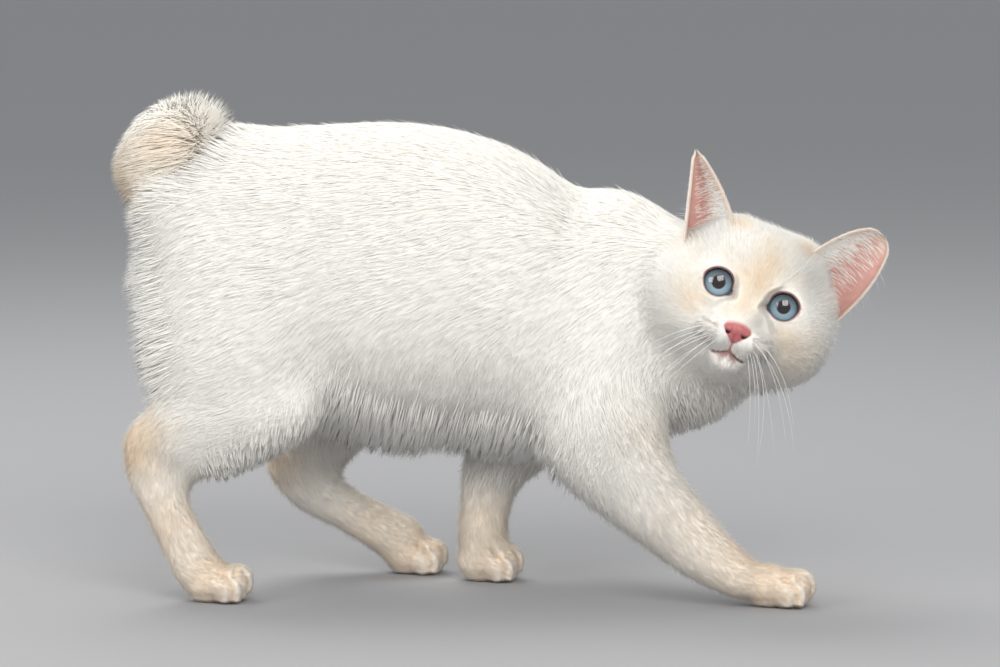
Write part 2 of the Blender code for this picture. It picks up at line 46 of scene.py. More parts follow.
headPose = dict(place=(132.4, -62.0, 168.1), turn=176.5, lift=5.8, tilt=-20.8)
headMatrix = (
    Matrix.Translation(Vector(headPose["place"]) + Vector(partShift))
    @ Matrix.Rotation(math.radians(headPose["turn"]), 4, "Z")
    @ Matrix.Rotation(math.radians(headPose["lift"]), 4, "X")
    @ Matrix.Rotation(math.radians(headPose["tilt"]), 4, "Y")
)
headTurn = np.array(headMatrix.to_3x3())
headOrigin = np.array(headMatrix.translation)


# Small helpers for numbers on points

def given(**values):  # a piece's settings, with places and directions as arrays
    return {key: np.array(value, float) if isinstance(value, tuple) else value for key, value in values.items()}


def toHead(points):  # metres to the head's millimetres
    return (points / mm - headOrigin) @ headTurn


def toBody(points):  # metres to the part's millimetres
    return points / mm - partShift


def fromBody(points):
    return (points + partShift) * mm


def fromHead(points):
    return (points @ headTurn.T + headOrigin) * mm


def step(low, high, value):  # 0 below low, 1 above high, smooth between
    t = np.clip((value - low) / (high - low), 0, 1)
    return t * t * (3 - 2 * t)


def hill(value, middle, width):  # 1 at the middle, falling off softly on both sides
    return np.exp(-((value - middle) / width) ** 2)


def span(vectors):
    return np.linalg.norm(vectors, axis=1)


def unit(vectors):
    return vectors / np.maximum(np.linalg.norm(vectors, axis=-1, keepdims=True), 1e-12)


def dot(one, two):
    return (one * two).sum(axis=1, keepdims=True)


def laidFlat(vectors, normals):  # what is left of the vectors beside their normals
    return vectors - normals * dot(vectors, normals)


def mix(one, two, share):
    return one + (two - one) * share[..., None]


def ripple(points, size, seed=0):  # soft noise from -1 to 1, on metres, of a size in mm
    place = points / (size * mm)
    total = np.zeros(len(points))
    for k in range(4):
        a, b, c, d = np.random.default_rng(seed * 17 + k).uniform(-1, 1, 4)
        way = unit(np.array([[a, b, c]]))[0] * (1.3 + 0.5 * k)
        bend = np.sin(place[:, [1, 2, 0]] @ way * 0.9 + d * 5)
        total += np.sin(place @ way * 2.1 + 1.7 * bend + d * 9)
    return total / 4


def deselect():
    for other in bpy.context.selected_objects:
        other.select_set(False)


def choose(piece):
    deselect()
    piece.select_set(True)
    bpy.context.view_layer.objects.active = piece


def applyAll(piece):
    choose(piece)
    for modifier in list(piece.modifiers):
        bpy.ops.object.modifier_apply(modifier=modifier.name)


def edited(piece, *jobs):  # runs mesh operators, each with its settings, on all of the piece
    choose(piece)
    bpy.ops.object.mode_set(mode="EDIT")
    bpy.ops.mesh.select_all(action="SELECT")
    for job, settings in jobs:
        job(**settings)
    bpy.ops.object.mode_set(mode="OBJECT")


outwardFaces = (bpy.ops.mesh.normals_make_consistent, dict(inside=False))


def placed(piece):
    bpy.context.scene.collection.objects.link(piece)
    return piece


def rowsOf(items, key):
    found = np.empty(len(items) * 3, np.float32)
    items.foreach_get(key, found)
    return found.reshape(-1, 3).astype(float)


def pointsOf(piece):
    return rowsOf(piece.data.vertices, "co")


def normalsOf(piece):
    return rowsOf(piece.data.vertices, "normal")


def cornersOf(piece):  # the three points of each triangle
    found = np.empty(len(piece.data.loops), np.int32)
    piece.data.loops.foreach_get("vertex_index", found)
    return found.reshape(-1, 3)


def put(items, key, values):
    items.foreach_set(key, np.asarray(values, np.float32).ravel())


def setPoints(piece, points):
    put(piece.data.vertices, "co", points)
    piece.data.update()


def pieceFrom(name, points, faces):
    mesh = bpy.data.meshes.new(name)
    mesh.vertices.add(len(points))
    put(mesh.vertices, "co", points)
    faces = np.asarray(faces, np.int32)
    mesh.loops.add(faces.size)
    mesh.loops.foreach_set("vertex_index", faces.ravel())
    mesh.polygons.add(len(faces))
    mesh.polygons.foreach_set("loop_start", np.arange(0, faces.size, faces.shape[1], dtype=np.int32))
    mesh.update(calc_edges=True)
    mesh.polygons.foreach_set("use_smooth", np.full(len(faces), True))
    return placed(bpy.data.objects.new(name, mesh))


def paint(piece, name, colours):  # a colour on each point
    layer = piece.data.color_attributes.new(name, "FLOAT_COLOR", "POINT")
    put(layer.data, "color", np.concatenate([colours, np.ones((len(colours), 1))], axis=1))


def measure(piece, name, values):  # a number on each point
    layer = piece.data.attributes.new(name, "FLOAT", "POINT")
    put(layer.data, "value", values)


def finishPiece(piece, material, slot, *nodes):
    piece.data.materials.clear()
    piece.data.materials.append(material)
    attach(piece, "root")
    if nodes:
        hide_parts(*nodes)
    print("made", piece.name, len(piece.data.polygons))


# Materials

class Wire:  # a socket, and the one way to add a node
    def __init__(self, tree, socket):
        self.tree, self.socket = tree, socket

    def node(self, kind, settings=(), **inputs):
        made = self.tree.nodes.new(kind)
        for key, value in dict(settings).items():
            if key == "stops":
                ramp = made.color_ramp
                for place, colour in value[2:]:
                    ramp.elements.new(place)
                for element, (place, colour) in zip(ramp.elements, sorted(value)):
                    element.position, element.color = place, (*colour, 1)
            else:
                setattr(made, key, value)
        for key, value in inputs.items():
            spot = made.inputs[int(key[1:]) if key[0] == "i" and key[1:].isdigit() else key.replace("_", " ")]
            if isinstance(value, Wire):
                self.tree.links.new(value.socket, spot)
            else:
                spot.default_value = value
        return made

    def out(self, made, name=0):
        return Wire(self.tree, made.outputs[name])


def newMaterial(name, **plain):  # a Principled material and a wire to build from
    made = bpy.data.materials.new(name)
    made.use_nodes = True
    shader = made.node_tree.nodes["Principled BSDF"]
    for key, value in plain.items():
        shader.inputs[key.replace("_", " ")].default_value = value
    coord = made.node_tree.nodes.new("ShaderNodeTexCoord")
    return made, shader, Wire(made.node_tree, coord.outputs["Object"])


def attribute(wire, name, output="Color"):
    return wire.out(wire.node("ShaderNodeAttribute", {"attribute_name": name}), output)


def noise(wire, scale, detail):
    return wire.out(wire.node("ShaderNodeTexNoise", Vector=wire, Scale=scale, Detail=detail))


def shaded(wire, name, share, grain, low, darkest):  # a painted colour, darkened a little where the grain is low
    ramp = wire.out(wire.node("ShaderNodeValToRGB", {"stops": [(low, darkest), (0.7, (1, 1, 1))]}, Fac=grain))
    made = wire.node("ShaderNodeMix", {"data_type": "RGBA", "blend_type": "MULTIPLY"},
                     i0=share, i6=attribute(wire, name), i7=ramp)
    return wire.out(made, 2)


def joinTo(wire, shader, **inputs):
    for key, value in inputs.items():
        wire.tree.links.new(value.socket, shader.inputs[key.replace("_", " ")])


# The coat's colours, by place. Skin and fur both use them.

coatColours = given(
    white=(0.93, 0.912, 0.868), cream=(0.88, 0.72, 0.52), apricot=(0.82, 0.60, 0.41),
    peach=(0.88, 0.68, 0.56), pink=(0.61, 0.37, 0.32), leather=(0.53, 0.16, 0.16), lip=(0.36, 0.17, 0.17),
    # dark is painted shade, for the insides of the nostrils
    dot=(0.34, 0.27, 0.24), rim=(0.12, 0.05, 0.045), dark=(0.055, 0.02, 0.018),
)
# Cream patches: place, radius, how strong
bodyPatches = [
    ((146, -53, 12), 26, 0.85), ((165, -53, 6), 14, 0.55), ((124, -52, 26), 24, 0.62),
    ((100, -52, 46), 24, 0.38), ((-6, 28, 12), 24, 0.75), ((-10, 28, 34), 24, 0.55),
    ((20, 30, 86), 20, 0.22), ((-154, -38, 14), 25, 0.85), ((-178, -38, 44), 26, 0.62),
    ((-196, -40, 84), 20, 0.95), ((-186, -46, 98), 16, 0.50), ((-50, 52, 14), 24, 0.80),
    ((-76, 52, 30), 24, 0.50),
    ((-124, 52, 66), 22, 0.70), ((84, -50, 92), 20, 0.22), ((70, -52, 100), 16, 0.15),
    ((-193, -8, 236), 22, 0.50), ((-196, -10, 220), 20, 0.40), ((-169, -15, 246), 14, 0.60),
]
headPatches = [
    ((-1, 8, 5), 10, 0.95), ((-3, 8, 14), 9, 0.70), ((-1, 6, 24), 10, 0.40),
    ((8, 8, 7), 7, 0.50), ((2.5, 14, -9), 8, 0.75), ((5, 12, -14), 6, 0.50),
    ((-5, 12, -13), 6, 0.40), ((25, 5, -15), 9, 0.75), ((32, 0, -8), 9, 0.40),
    ((-23, 5, -17), 10, 0.70), ((-30, 2, -24), 10, 0.50), ((-34, -4, -12), 9, 0.35),
    ((17, -4, 31), 7, 0.85), ((-18, -4, 31), 7, 0.85), ((30, -4, 5), 8, 0.30),
    ((0, 16, -5), 7, 0.55), ((41, -12, 14), 7, 0.45), ((-46, -12, 8), 7, 0.45),
    ((18, 3, 12), 6, 0.30), ((-19, 3, 12), 6, 0.30),
]


def dotShare(inHead):  # rows of dark dots where the whiskers grow
    found = np.zeros(len(inHead))
    for row in range(4):
        for column in range(4):
            x, z = 9.5 + 2.7 * column + 0.8 * (row % 2), -21.3 - 2.4 * row + 0.4 * column
            far = np.hypot(np.abs(inHead[:, 0]) - x, inHead[:, 2] - z)
            found = np.maximum(found, hill(far, 0, 0.85))
    return found * (inHead[:, 1] > -6)


def coatColour(points):
    colour = np.tile(coatColours["white"], (len(points), 1))
    inHead = toHead(points)
    body = toBody(points)
    # apricot in the folds between the toes: the fur's own warm tint there and painted shade in the folds
    colour = mix(colour, coatColours["apricot"], 0.55 * creaseShare(points))
    rows = [(body, 1, *row) for row in bodyPatches] + [(inHead, 0.5, *row) for row in headPatches]
    for places, flatter, place, radius, strength in rows:
        far = span((places - place) * (1, flatter, 1))
        share = strength * np.exp(-(far / radius) ** 2 * 1.4)
        share *= 0.85 + 0.15 * ripple(points, 5, 3)
        colour = mix(colour, coatColours["cream"], np.clip(share, 0, 1))
        colour = mix(colour, coatColours["apricot"], np.clip(share - 0.3, 0, 1) * 0.7)
    return mix(colour, coatColours["dot"], 0.8 * dotShare(inHead))


# The camera stands where the photograph's did

cameraPlace = given(place=(0.0, -2200.0, 385.0), pitch=6.34, lens=146.7)
camera = placed(bpy.data.objects.new("Camera", bpy.data.cameras.new("Camera")))
camera.location = fromBody(cameraPlace["place"])
camera.rotation_euler = (math.radians(90 - cameraPlace["pitch"]), 0, 0)
camera.data.lens = cameraPlace["lens"]
camera.data.sensor_width = 36
camera.data.clip_end = 50
bpy.context.scene.camera = camera


# The ears' corners, in the head's frame

earSet = dict(
    earRight=given(node="ear_right", inner=(15.5, -7, 31), outer=(42.5, -16, 16), tip=(54.5, -22, 60.5),
                   bowIn=(-1, 0, 1), bowOut=(1, -1, 3), cup=17.0, tipHalf=2.2),
    earLeft=given(node="ear_left", inner=(-16, -7, 31), outer=(-48, -15, 10), tip=(-55, -20, 53.5), bowIn=(-1, 0, 5),
                  bowOut=(-3.5, 1, -1), cup=15.0, tipHalf=6.5),
)


# How the coat lies: place, direction, length, rise of its tips, depth of the skin below the solids

flow = [
    ((-150, 0, 252), (-1, 0, 0.02), 16, 3.4, 3.4), ((-178, 0, 238), (-0.9, 0, 0.2), 16, 3.4, 3.4),
    ((-181, 28, 130), (-0.1, -0.1, -1), 13, 3.2, 3.6), ((-185, -34, 150), (-0.65, 0, -0.75), 15, 3.5, 3.8),
    ((-175, 36, 140), (-0.35, 0, -1), 15, 3.5, 3.8), ((-60, 0, 256), (-1, 0, 0), 14, 3, 3),
    ((-110, 0, 256), (-1, 0, 0), 14, 3.2, 3.2), ((0, 0, 242), (-1, 0, 0.1), 14, 3, 3),
    ((40, 0, 222), (-1, 0, 0.25), 13, 3, 3), ((-15, 0, 80), (-0.5, 0, -0.9), 17, 3.9, 4.6),
    ((20, 0, 84), (-0.5, 0, -0.8), 14, 3.4, 3.4), ((-140, -55, 140), (-0.9, 0, -0.4), 13, 2.8, 2.8),
    ((-125, 58, 130), (-0.85, 0, -0.5), 13, 2.8, 2.8), ((50, -50, 150), (-0.7, 0, -0.75), 12, 2.6, 2.6),
    ((45, 48, 150), (-0.7, 0, -0.75), 12, 2.6, 2.6), ((85, -45, 150), (-0.7, 0.1, -0.75), 12, 2.6, 2.6),
    ((90, 20, 160), (-0.7, 0.1, -0.75), 12, 2.6, 2.6), ((90, -10, 208), (-1, 0.2, -0.1), 12, 2.8, 2.8),
    ((112, 4, 190), (-0.8, 0.5, -0.3), 11, 2.6, 2.6), ((110, -30, 112), (-0.2, 0, -1), 13, 2.9, 2.9),
    ((95, 0, 100), (-0.2, 0, -1), 13, 3, 3), ((128, -62, 122), (-0.4, 0, -0.9), 11, 2.9, 2.9),
    ((55, -52, 105), (0.35, 0, -0.95), 10, 2.6, 2.6), ((30, -48, 105), (-0.3, 0, -1), 12, 3.3, 3.3),
    ((85, -52, 72), (0.62, 0, -0.78), 8, 2.2, 2.2), ((115, -54, 44), (0.66, 0, -0.74), 7, 1.8, 1.8),
    ((148, -53, 12), (1, 0, -0.15), 4.2, 1.1, 1.1), ((165, -53, 8), (1, 0, -0.5), 3.4, 0.9, 0.9),
    ((25, 30, 90), (-0.4, 0, -0.95), 11, 2.9, 2.9), ((-2, 30, 62), (-0.1, 0, -1), 8, 2.2, 2.2),
    ((-8, 28, 36), (-0.05, 0, -1), 7, 1.8, 1.8), ((0, 28, 10), (1, 0, -0.2), 4.2, 1.1, 1.1),
    ((12, 28, 8), (1, 0, -0.5), 3.4, 0.9, 0.9), ((-115, -48, 105), (-0.9, 0, -0.4), 11, 3, 3),
    ((-150, -44, 96), (-0.95, 0, -0.35), 10, 2.6, 2.6), ((-196, -38, 88), (-0.2, 0, -1), 9, 2.6, 2.6),
    ((-176, -38, 50), (0.28, 0, -1), 6.5, 1.9, 1.9), ((-150, -38, 11), (1, 0, -0.15), 4.2, 1.1, 1.1),
    ((-136, -38, 8), (1, 0, -0.5), 3.4, 0.9, 0.9), ((-95, 46, 92), (-0.2, 0, -1), 11, 3, 3),
    ((-118, 50, 66), (0.6, 0, -0.8), 9, 2.4, 2.4), ((-86, 52, 38), (0.85, 0, -0.55), 6.5, 1.9, 1.9),
    ((-47, 52, 12), (1, 0, -0.15), 4.2, 1.1, 1.1), ((-32, 52, 8), (1, 0, -0.5), 3.4, 0.9, 0.9),
]
flowOnBothSides = [
    ((0, 52, 118), (-0.3, 0, -1), 14, 3, 2.8), ((-100, 54, 128), (-0.65, 0, -0.75), 14, 3, 2.8),
    ((-196, 16, 195), (-0.6, 0, -0.8), 16, 3.6, 4.1), ((-60, 58, 190), (-1, 0, -0.3), 14, 2.9, 2.9),
    ((-60, 52, 122), (-0.4, 0, -0.95), 15, 3, 3), ((0, 54, 170), (-0.95, 0, -0.4), 13, 2.9, 2.9),
    ((-70, 15, 88), (-0.6, 0, -0.9), 18, 4, 4.9), ((-130, 52, 190), (-0.95, 0, -0.3), 14, 3, 3),
]
flow += [((x, way * y, z), *row) for (x, y, z), *row in flowOnBothSides for way in (-1, 1)]
# Longer hair that hangs or stands out: place, direction, length, reach, share
fringes = [
    ((-138, 0, 257), (-0.85, 0, 0.5), 6, 11, 1.2), ((-152, 0, 256), (-0.5, 0, 0.87), 19, 11, 1.8),
    ((-180, 28, 136), (-0.35, 0, -0.95), 15, 20, 1.5), ((-198, -5, 218), (-0.95, 0, -0.15), 14, 16, 1.6),
    ((-172, -27, 232), (-0.95, 0, 0.12), 16, 14, 1.8), ((-172, 27, 232), (-0.95, 0, 0.12), 16, 14, 1.8),
    ((-153, -22, 247), (-0.9, 0, 0.4), 14, 12, 1.7), ((-153, 22, 247), (-0.9, 0, 0.4), 14, 12, 1.7),
    ((-200, -10, 198), (-0.95, 0, -0.25), 11, 24, 1.0), ((-196, -22, 156), (-0.95, 0, -0.25), 15, 28, 1.6),
    ((-192, -34, 132), (-0.9, 0, -0.45), 15, 20, 1.2), ((-185, 30, 130), (-0.8, 0, -0.6), 12, 30, 0.7),
    ((-95, -10, 92), (-0.3, 0, -1), 17, 34, 1.1), ((-50, -10, 84), (-0.25, 0, -1), 19, 34, 1.3),
    ((0, -10, 82), (-0.3, 0, -1), 17, 30, 1.1), ((35, -20, 95), (-0.45, 0, -0.9), 12, 24, 0.8),
    ((-148, -42, 80), (0.35, 0, -0.95), 8, 13, 0.9), ((-172, -42, 104), (-0.2, 0, -1), 7, 14, 0.4),
    ((-120, -50, 88), (-0.15, 0, -1), 8, 22, 0.7), ((-95, -52, 110), (-0.25, 0, -1), 10, 20, 0.7),
    ((100, -15, 112), (0.3, 0, -0.95), 9, 26, 0.9), ((128, -40, 118), (0.25, 0, -1), 8, 24, 0.8),
    ((60, -54, 88), (-0.5, 0, -0.85), 7, 22, 0.6), ((10, 30, 84), (-0.5, 0, -0.85), 8, 20, 0.6),
]
flowHead = given(muzzle=(0, 20, -23), near=12, far=52, lengthNear=2.6, lengthFar=8.5, riseNear=0.65, riseFar=2.6,
                 depthNear=0.5, depthFar=2.0, centre=(0, -16, -2), inner=44, outer=58, neck=(88, -14, 158))


def headShare(points):
    far = span((toHead(points) - flowHead["centre"]) * (1, 1, 1.05))
    return 1 - step(flowHead["inner"], flowHead["outer"], far)


def coatLie(points):  # direction, length, rise and depth at each point, in metres
    body = toBody(points)
    table = np.array([[*way, length, rise, depth] for place, way, length, rise, depth in flow])
    table[:, :3] = unit(table[:, :3])
    places = np.array([row[0] for row in flow], float)
    found = np.zeros((len(points), 6))
    for start in range(0, len(points), 20000):
        part = body[start:start + 20000]
        far = ((part[:, None, :] - places[None]) ** 2).sum(axis=2)
        weight = 1 / (far + 60) ** 2
        found[start:start + 20000] = weight @ table / weight.sum(axis=1, keepdims=True)
    inHead = toHead(points)
    away = inHead - flowHead["muzzle"]
    reach = span(away)
    t = step(flowHead["near"], flowHead["far"], reach)
    head = np.empty((len(points), 6))
    head[:, :3] = unit(away + (0, -14, 0)) @ headTurn.T
    behind = step(-4, -26, inHead[:, 1]) * 0.95
    head[:, :3] = mix(head[:, :3], unit(flowHead["neck"] - body), behind)
    for column, name in enumerate(("length", "rise", "depth"), 3):
        near, far = flowHead[name + "Near"], flowHead[name + "Far"]
        head[:, column] = near + (far - near) * t
    for ear in earSet.values():
        inner, outer, tip = (ear[key] for key in ("inner", "outer", "tip"))
        along = np.clip((inHead - inner) @ (outer - inner) / ((outer - inner) @ (outer - inner)), 0, 1)
        apart = inHead - inner - along[:, None] * (outer - inner)
        near = np.exp(-(span(apart) / 8) ** 2) * step(-3, 2, apart[:, 1])
        rise = headTurn @ unit(tip - (inner + outer) / 2)
        head[:, :3] = unit(mix(head[:, :3], np.tile(rise, (len(head), 1)), near * 0.9))
        head[:, 4] *= 1 + 0.4 * near
    share = headShare(points)
    found = mix(found, head, share)
    found[:, :3] = unit(found[:, :3])
    found[:, 3:] *= mm
    return found


# The skin: copies of the solids that are flesh, joined and remeshed

skinSet = given(voxel=2.0, smooth=16, fineFace=(0, 4, -10), fineReach=35, tailCore=(-177, 0, 242),
               tailRadii=(15, 13.5, 16), eyeX=18.3, eyeY=-1.2, eyeRadius=10.8)
hollow = given(place=(-207, 190), size=(17, 21), depth=7.5)  # under the tail, seen from the side
fleshNodes = ["torso", "neck", "head", "foreleg_left", "foreleg_right", "forepaw_left", "forepaw_right",
              "hindleg_left", "hindleg_right", "hindpaw_left", "hindpaw_right"]


def selectFaces(piece, chosen):
    choose(piece)
    bpy.ops.object.mode_set(mode="EDIT")
    bpy.ops.mesh.select_all(action="DESELECT")
    bpy.ops.object.mode_set(mode="OBJECT")
    piece.data.polygons.foreach_set("select", chosen)
    bpy.ops.object.mode_set(mode="EDIT")


def makeSkin():
    deselect()
    copies = []
    for name in fleshNodes + ["nose", "eye_left", "eye_right"]:
        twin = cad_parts[name].copy()
        twin.data = twin.data.copy()
        twin.parent = None
        for key in list(twin.keys()):
            del twin[key]
        copies.append(placed(twin))
    middle = fromBody(skinSet["tailCore"])
    bpy.ops.mesh.primitive_ico_sphere_add(subdivisions=4, radius=1, location=middle,
                                          scale=skinSet["tailRadii"] * mm)
    copies.append(bpy.context.object)
    deselect()
    for twin in copies:
        twin.select_set(True)
    skin = copies[0]
    bpy.context.view_layer.objects.active = skin
    bpy.ops.object.join()
    edited(skin, (bpy.ops.mesh.remove_doubles, dict(threshold=0.000001)))
    skin.name = "skin"
    fuse = skin.modifiers.new("fuse", "REMESH")
    fuse.mode = "VOXEL"
    fuse.voxel_size = skinSet["voxel"] * mm
    applyAll(skin)
    return skin


def smoothSkin(skin, times, weights):
    group = skin.vertex_groups.new(name="soft")
    levels = np.round(np.clip(weights, 0, 1) * 10).astype(int)
    for level in range(1, 11):
        group.add(np.flatnonzero(levels == level).tolist(), level / 10, "REPLACE")
    even = skin.modifiers.new("even", "SMOOTH")
    even.iterations, even.factor, even.vertex_group = times, 0.5, "soft"
    applyAll(skin)
    skin.vertex_groups.clear()


pawPlaces = [(148.5, -53, 8), (-6, 28, 8), (-152, -38, 8), (-47.5, 52, 8)]


def creaseShare(points, wide=1.2):  # 1 in the folds between the toes
    body = toBody(points)
    found = np.zeros(len(points))
    for px, py, pz in pawPlaces:
        ahead, aside, z = body[:, 0] - px, body[:, 1] - py, body[:, 2]
        here = (np.abs(aside) < 18) * (np.abs(ahead) < 34) * (1 - step(19, 24, z))
        for line in (-7.7, 0.0, 7.7):
            front = step(10, 16, ahead) * (1 - step(3, 5, np.abs(aside - line)))
            found = np.maximum(found, here * front * np.exp(-((aside - line) / wide) ** 2))
        for end in (9.0, 17.0):
            off = np.hypot((ahead - end + 9) / 9, (z - 6) / 11)
            beside = step(3, 7, np.abs(aside)) * (ahead > end - 8)
            found = np.maximum(found, here * beside * np.exp(-((off - 1) * 9 / wide) ** 2))
    return found


def nearPaw(points):
    body = toBody(points)
    return np.max([1 - step(20, 34, span(body - p)) for p in pawPlaces], axis=0)


skin = makeSkin()
points = pointsOf(skin)
onFace = 1 - step(30, 48, span(toHead(points) - (0, 6, -12)))
smoothSkin(skin, skinSet["smooth"], 1 - np.maximum(0.85 * onFace, 0.6 * nearPaw(points)))
for level in range(2):
    reach = skinSet["fineReach"] - level * 5
    inHead = toHead(rowsOf(skin.data.polygons, "center"))
    selectFaces(skin, span((inHead - skinSet["fineFace"]) * (1, 0.8, 1)) < reach)
    bpy.ops.mesh.subdivide(number_cuts=1)
    bpy.ops.object.mode_set(mode="OBJECT")
points = pointsOf(skin)
onFace = 1 - step(26, 34, span(toHead(points) - skinSet["fineFace"]))
smoothSkin(skin, 12, onFace)
print("skin remeshed", len(skin.data.polygons))


# The face, shaped in the head's frame

faceSet = dict(
    lidWide=7.9, lidHigh=7.5, lidThick=0.8, noseWide=7.6, noseTop=-16.8, nosePoint=-27.0, mouthMiddle=-31.4,
    mouthHalf=9.8, mouthDrop=3.1, nostril=(4.8, -22.6),
)


def eyeAt(x, z, way):  # how far out of the opening, 1 at its edge, and the eyeball's front
    dx, dz = (x - way * skinSet["eyeX"]) * way, z
    turn = np.arctan2(dz, dx)  # 0 towards the ear
    inner = np.angle(np.exp(1j * (turn - math.radians(203))))
    outer = np.angle(np.exp(1j * (turn - math.radians(12))))
    grow = 1 + 0.20 * hill(inner, 0, 0.26) + 0.05 * hill(outer, 0, 0.35)
    out = np.sqrt((dx / faceSet["lidWide"]) ** 2 + (dz / faceSet["lidHigh"]) ** 2) / grow
    held = np.maximum(out, 1)
    ball = skinSet["eyeY"] + np.sqrt(np.maximum(skinSet["eyeRadius"] ** 2 - (dx / held) ** 2 - (dz / held) ** 2, 4))
    return out, ball, dx, dz


def noseShare(x, z):  # 1 on the leather
    top, point, wide = faceSet["noseTop"], faceSet["nosePoint"], faceSet["noseWide"]
    down = np.clip((top - z) / (top - point), -0.5, 1.2)
    narrowed = 1.0 - ((np.maximum(down, 0.28) - 0.28) / 0.80) ** 1.25
    half = wide * np.where(down < 0.28, 0.90 + 0.36 * np.maximum(down, 0), narrowed)
    sides = step(-0.9, 0.9, half - np.abs(x))
    crest = step(-0.6, 0.6, z - point) * step(-1.8, 1.4, top + 0.9 - 0.035 * x * x - z)
    return sides * crest


def nostrilShare(x, z):
    side = np.abs(x)
    cx, cz = faceSet["nostril"]
    bend = cz + 0.22 * (side - cx) ** 2 + 0.12 * (side - cx)
    return np.exp(-((side - cx - 0.5) / 2.3) ** 4) * np.exp(-((z - bend) / 0.85) ** 2)


def mouthLine(x):
    t = np.clip(np.abs(x) / faceSet["mouthHalf"] * 1.2, 0, 1)
    return faceSet["mouthMiddle"] - faceSet["mouthDrop"] * np.sin(math.pi / 2 * t)


def mouthShare(x, z):
    ends = 1 - step(faceSet["mouthHalf"] - 2, faceSet["mouthHalf"] + 1.0, np.abs(x))
    return ends * np.exp(-((z - mouthLine(x)) / 0.95) ** 2)


def philtrumShare(x, z):
    return hill(x, 0, 0.75) * step(-31.9, -31.2, z) * (1 - step(-26.2, -25.6, z))


def lipShare(x, z):  # the little that shows of the lower lip
    return np.exp(-(x / 5.2) ** 4) * np.exp(-((z - mouthLine(x) + 1.6) / 1.2) ** 2)


def frontOf(inHead, low, high):  # 1 on the front of the head
    return step(low, high, inHead[:, 1]) * (span(inHead - (0, 6, -12)) < 60)


def shapeFace(skin):
    points = pointsOf(skin)
    normals = normalsOf(skin)
    inHead = toHead(points)
    x, y, z = inHead.T
    front = frontOf(inHead, -6, 0)
    outwards = unit(normals @ headTurn)
    nose = noseShare(x, z) * front
    lie = coatLie(points)
    bare = np.clip(nose + lipShare(x, z) * front + mouthShare(x, z) * front, 0, 1)
    depth = lie[:, 5] / mm * (1 - bare)
    for way in (1, -1):
        out, ball, dx, dz = eyeAt(x, z, way)
        depth *= np.where(front > 0, step(1.05, 1.9, out), 1)
    sole = (1 - step(1.5, 4.0, points[:, 2] / mm)) * step(0.3, 0.7, -normals[:, 2])
    depth = depth * (1 - sole) + 2.0 * creaseShare(points, 2.3)
    off = (toBody(points)[:, ::2] - hollow["place"]) / hollow["size"]
    depth += hollow["depth"] * np.exp(-(off ** 2).sum(axis=1))
    inHead -= outwards * depth[:, None]
    x, y, z = inHead.T
    y = y + front * 1.5 * hill(np.abs(x), 7, 3.5) * hill(z, -6, 8)
    above = step(-0.6, 1.6, z - mouthLine(x))
    pad = np.sqrt(((np.abs(x) - 10.5) / 11.0) ** 2 + ((z + 25.5) / 7.0) ** 2)
    y = y + front * above * (1 - nose) * (2.6 * np.exp(-pad ** 4) - 0.7 * hill(pad, 1.35, 0.25))
    y = y + front * 1.3 * np.exp(-((x / 7.5) ** 2 + ((z + 39.0) / 4.6) ** 2) ** 2)
    y = y + front * nose * (0.6 + 1.3 * (1 - (x / 8.5) ** 2) + 0.6 * hill(z, -20.5, 2.6))
    y = y - front * 3.0 * nostrilShare(x, z) * nose
    y = y - front * 0.7 * nose * hill(x, 0, 0.6) * (1 - step(-23, -21, z))
    y = y - front * (2.4 * mouthShare(x, z) + 1.0 * philtrumShare(x, z)) + front * 0.9 * lipShare(x, z)
    for way in (1, -1):
        out, ball, dx, dz = eyeAt(x, z, way)
        near = (out < 2.6) & (y > -10) & (front > 0)
        thick = faceSet["lidThick"] * (1 + 0.8 * hill(dz, 6, 5))
        lidY = ball + thick - 1.6 * np.maximum(out - 1, 0)
        hold = 1 - step(1.04, 2.4 - 0.9 * step(0, 7, -dx), out)
        y = np.where(near & (out >= 1), y + (lidY - y) * hold, y)
        inside = step(0.94, 1.0, out)
        y = np.where(near & (out < 1), (skinSet["eyeY"] + 3.6) * (1 - inside) + (ball + thick) * inside, y)
    inHead[:, 1] = y
    points = fromHead(inHead)
    points[:, 2] = np.maximum(points[:, 2], 0)
    setPoints(skin, points)


def skinColours(points, normals):
    inHead = toHead(points)
    x, y, z = inHead.T
    front = frontOf(inHead, -8, -2)
    # painted shade of the coat's depth: the skin under the tufts is the coat's colour, a little darker and warmer
    colour = coatColour(points) * (0.97, 0.93, 0.90)
    gloss = np.full(len(points), 0.85)
    name = coatColours
    for way in (1, -1):
        out, ball, dx, dz = eyeAt(x, z, way)
        high = step(-1, 6, dz)
        ring = front * (1 - step(1.03 + 0.06 * high, 1.09 + 0.09 * high, out))
        corner = hill(np.abs(dx), 9, 2.5) * hill(dz, 0, 3.5)
        warm = front * (1 - step(1.08, 1.5, out)) * (0.12 + 0.6 * corner)
        upper = 0.55 + 0.40 * step(-3, 4, dz)
        colour = mix(colour, name["pink"], warm)
        colour = mix(colour, name["rim"], ring * upper)
        colour = mix(colour, name["lip"], ring * (1 - upper) * 0.8)
        gloss = gloss + (0.3 - gloss) * ring
    nose = noseShare(x, z) * front
    mottled = 0.9 + 0.12 * ripple(points, 1.3, 5)
    colour = mix(colour, name["leather"] * mottled[:, None], nose)
    # painted shade inside the nostrils: the openings near black
    colour = mix(colour, name["dark"], np.clip(1.3 * nostrilShare(x, z) * nose, 0, 1))
    colour = mix(colour, name["lip"], front * 0.22 * np.exp(-(x / 7) ** 2 - ((z + 37.0) / 3.5) ** 2))
    colour = mix(colour, name["lip"], np.clip(lipShare(x, z) * front * 1.15, 0, 1) * 0.95)
    # the mouth's line in the lids' dark rim colour: the lips' own dark edge and painted shade in the crease between
    # them
    colour = mix(colour, name["rim"], np.clip(mouthShare(x, z) * front * 1.2, 0, 1) * 0.9)
    colour = mix(colour, name["leather"], philtrumShare(x, z) * front * 0.85)
    gloss = gloss + (0.42 - gloss) * nose
    return colour, gloss


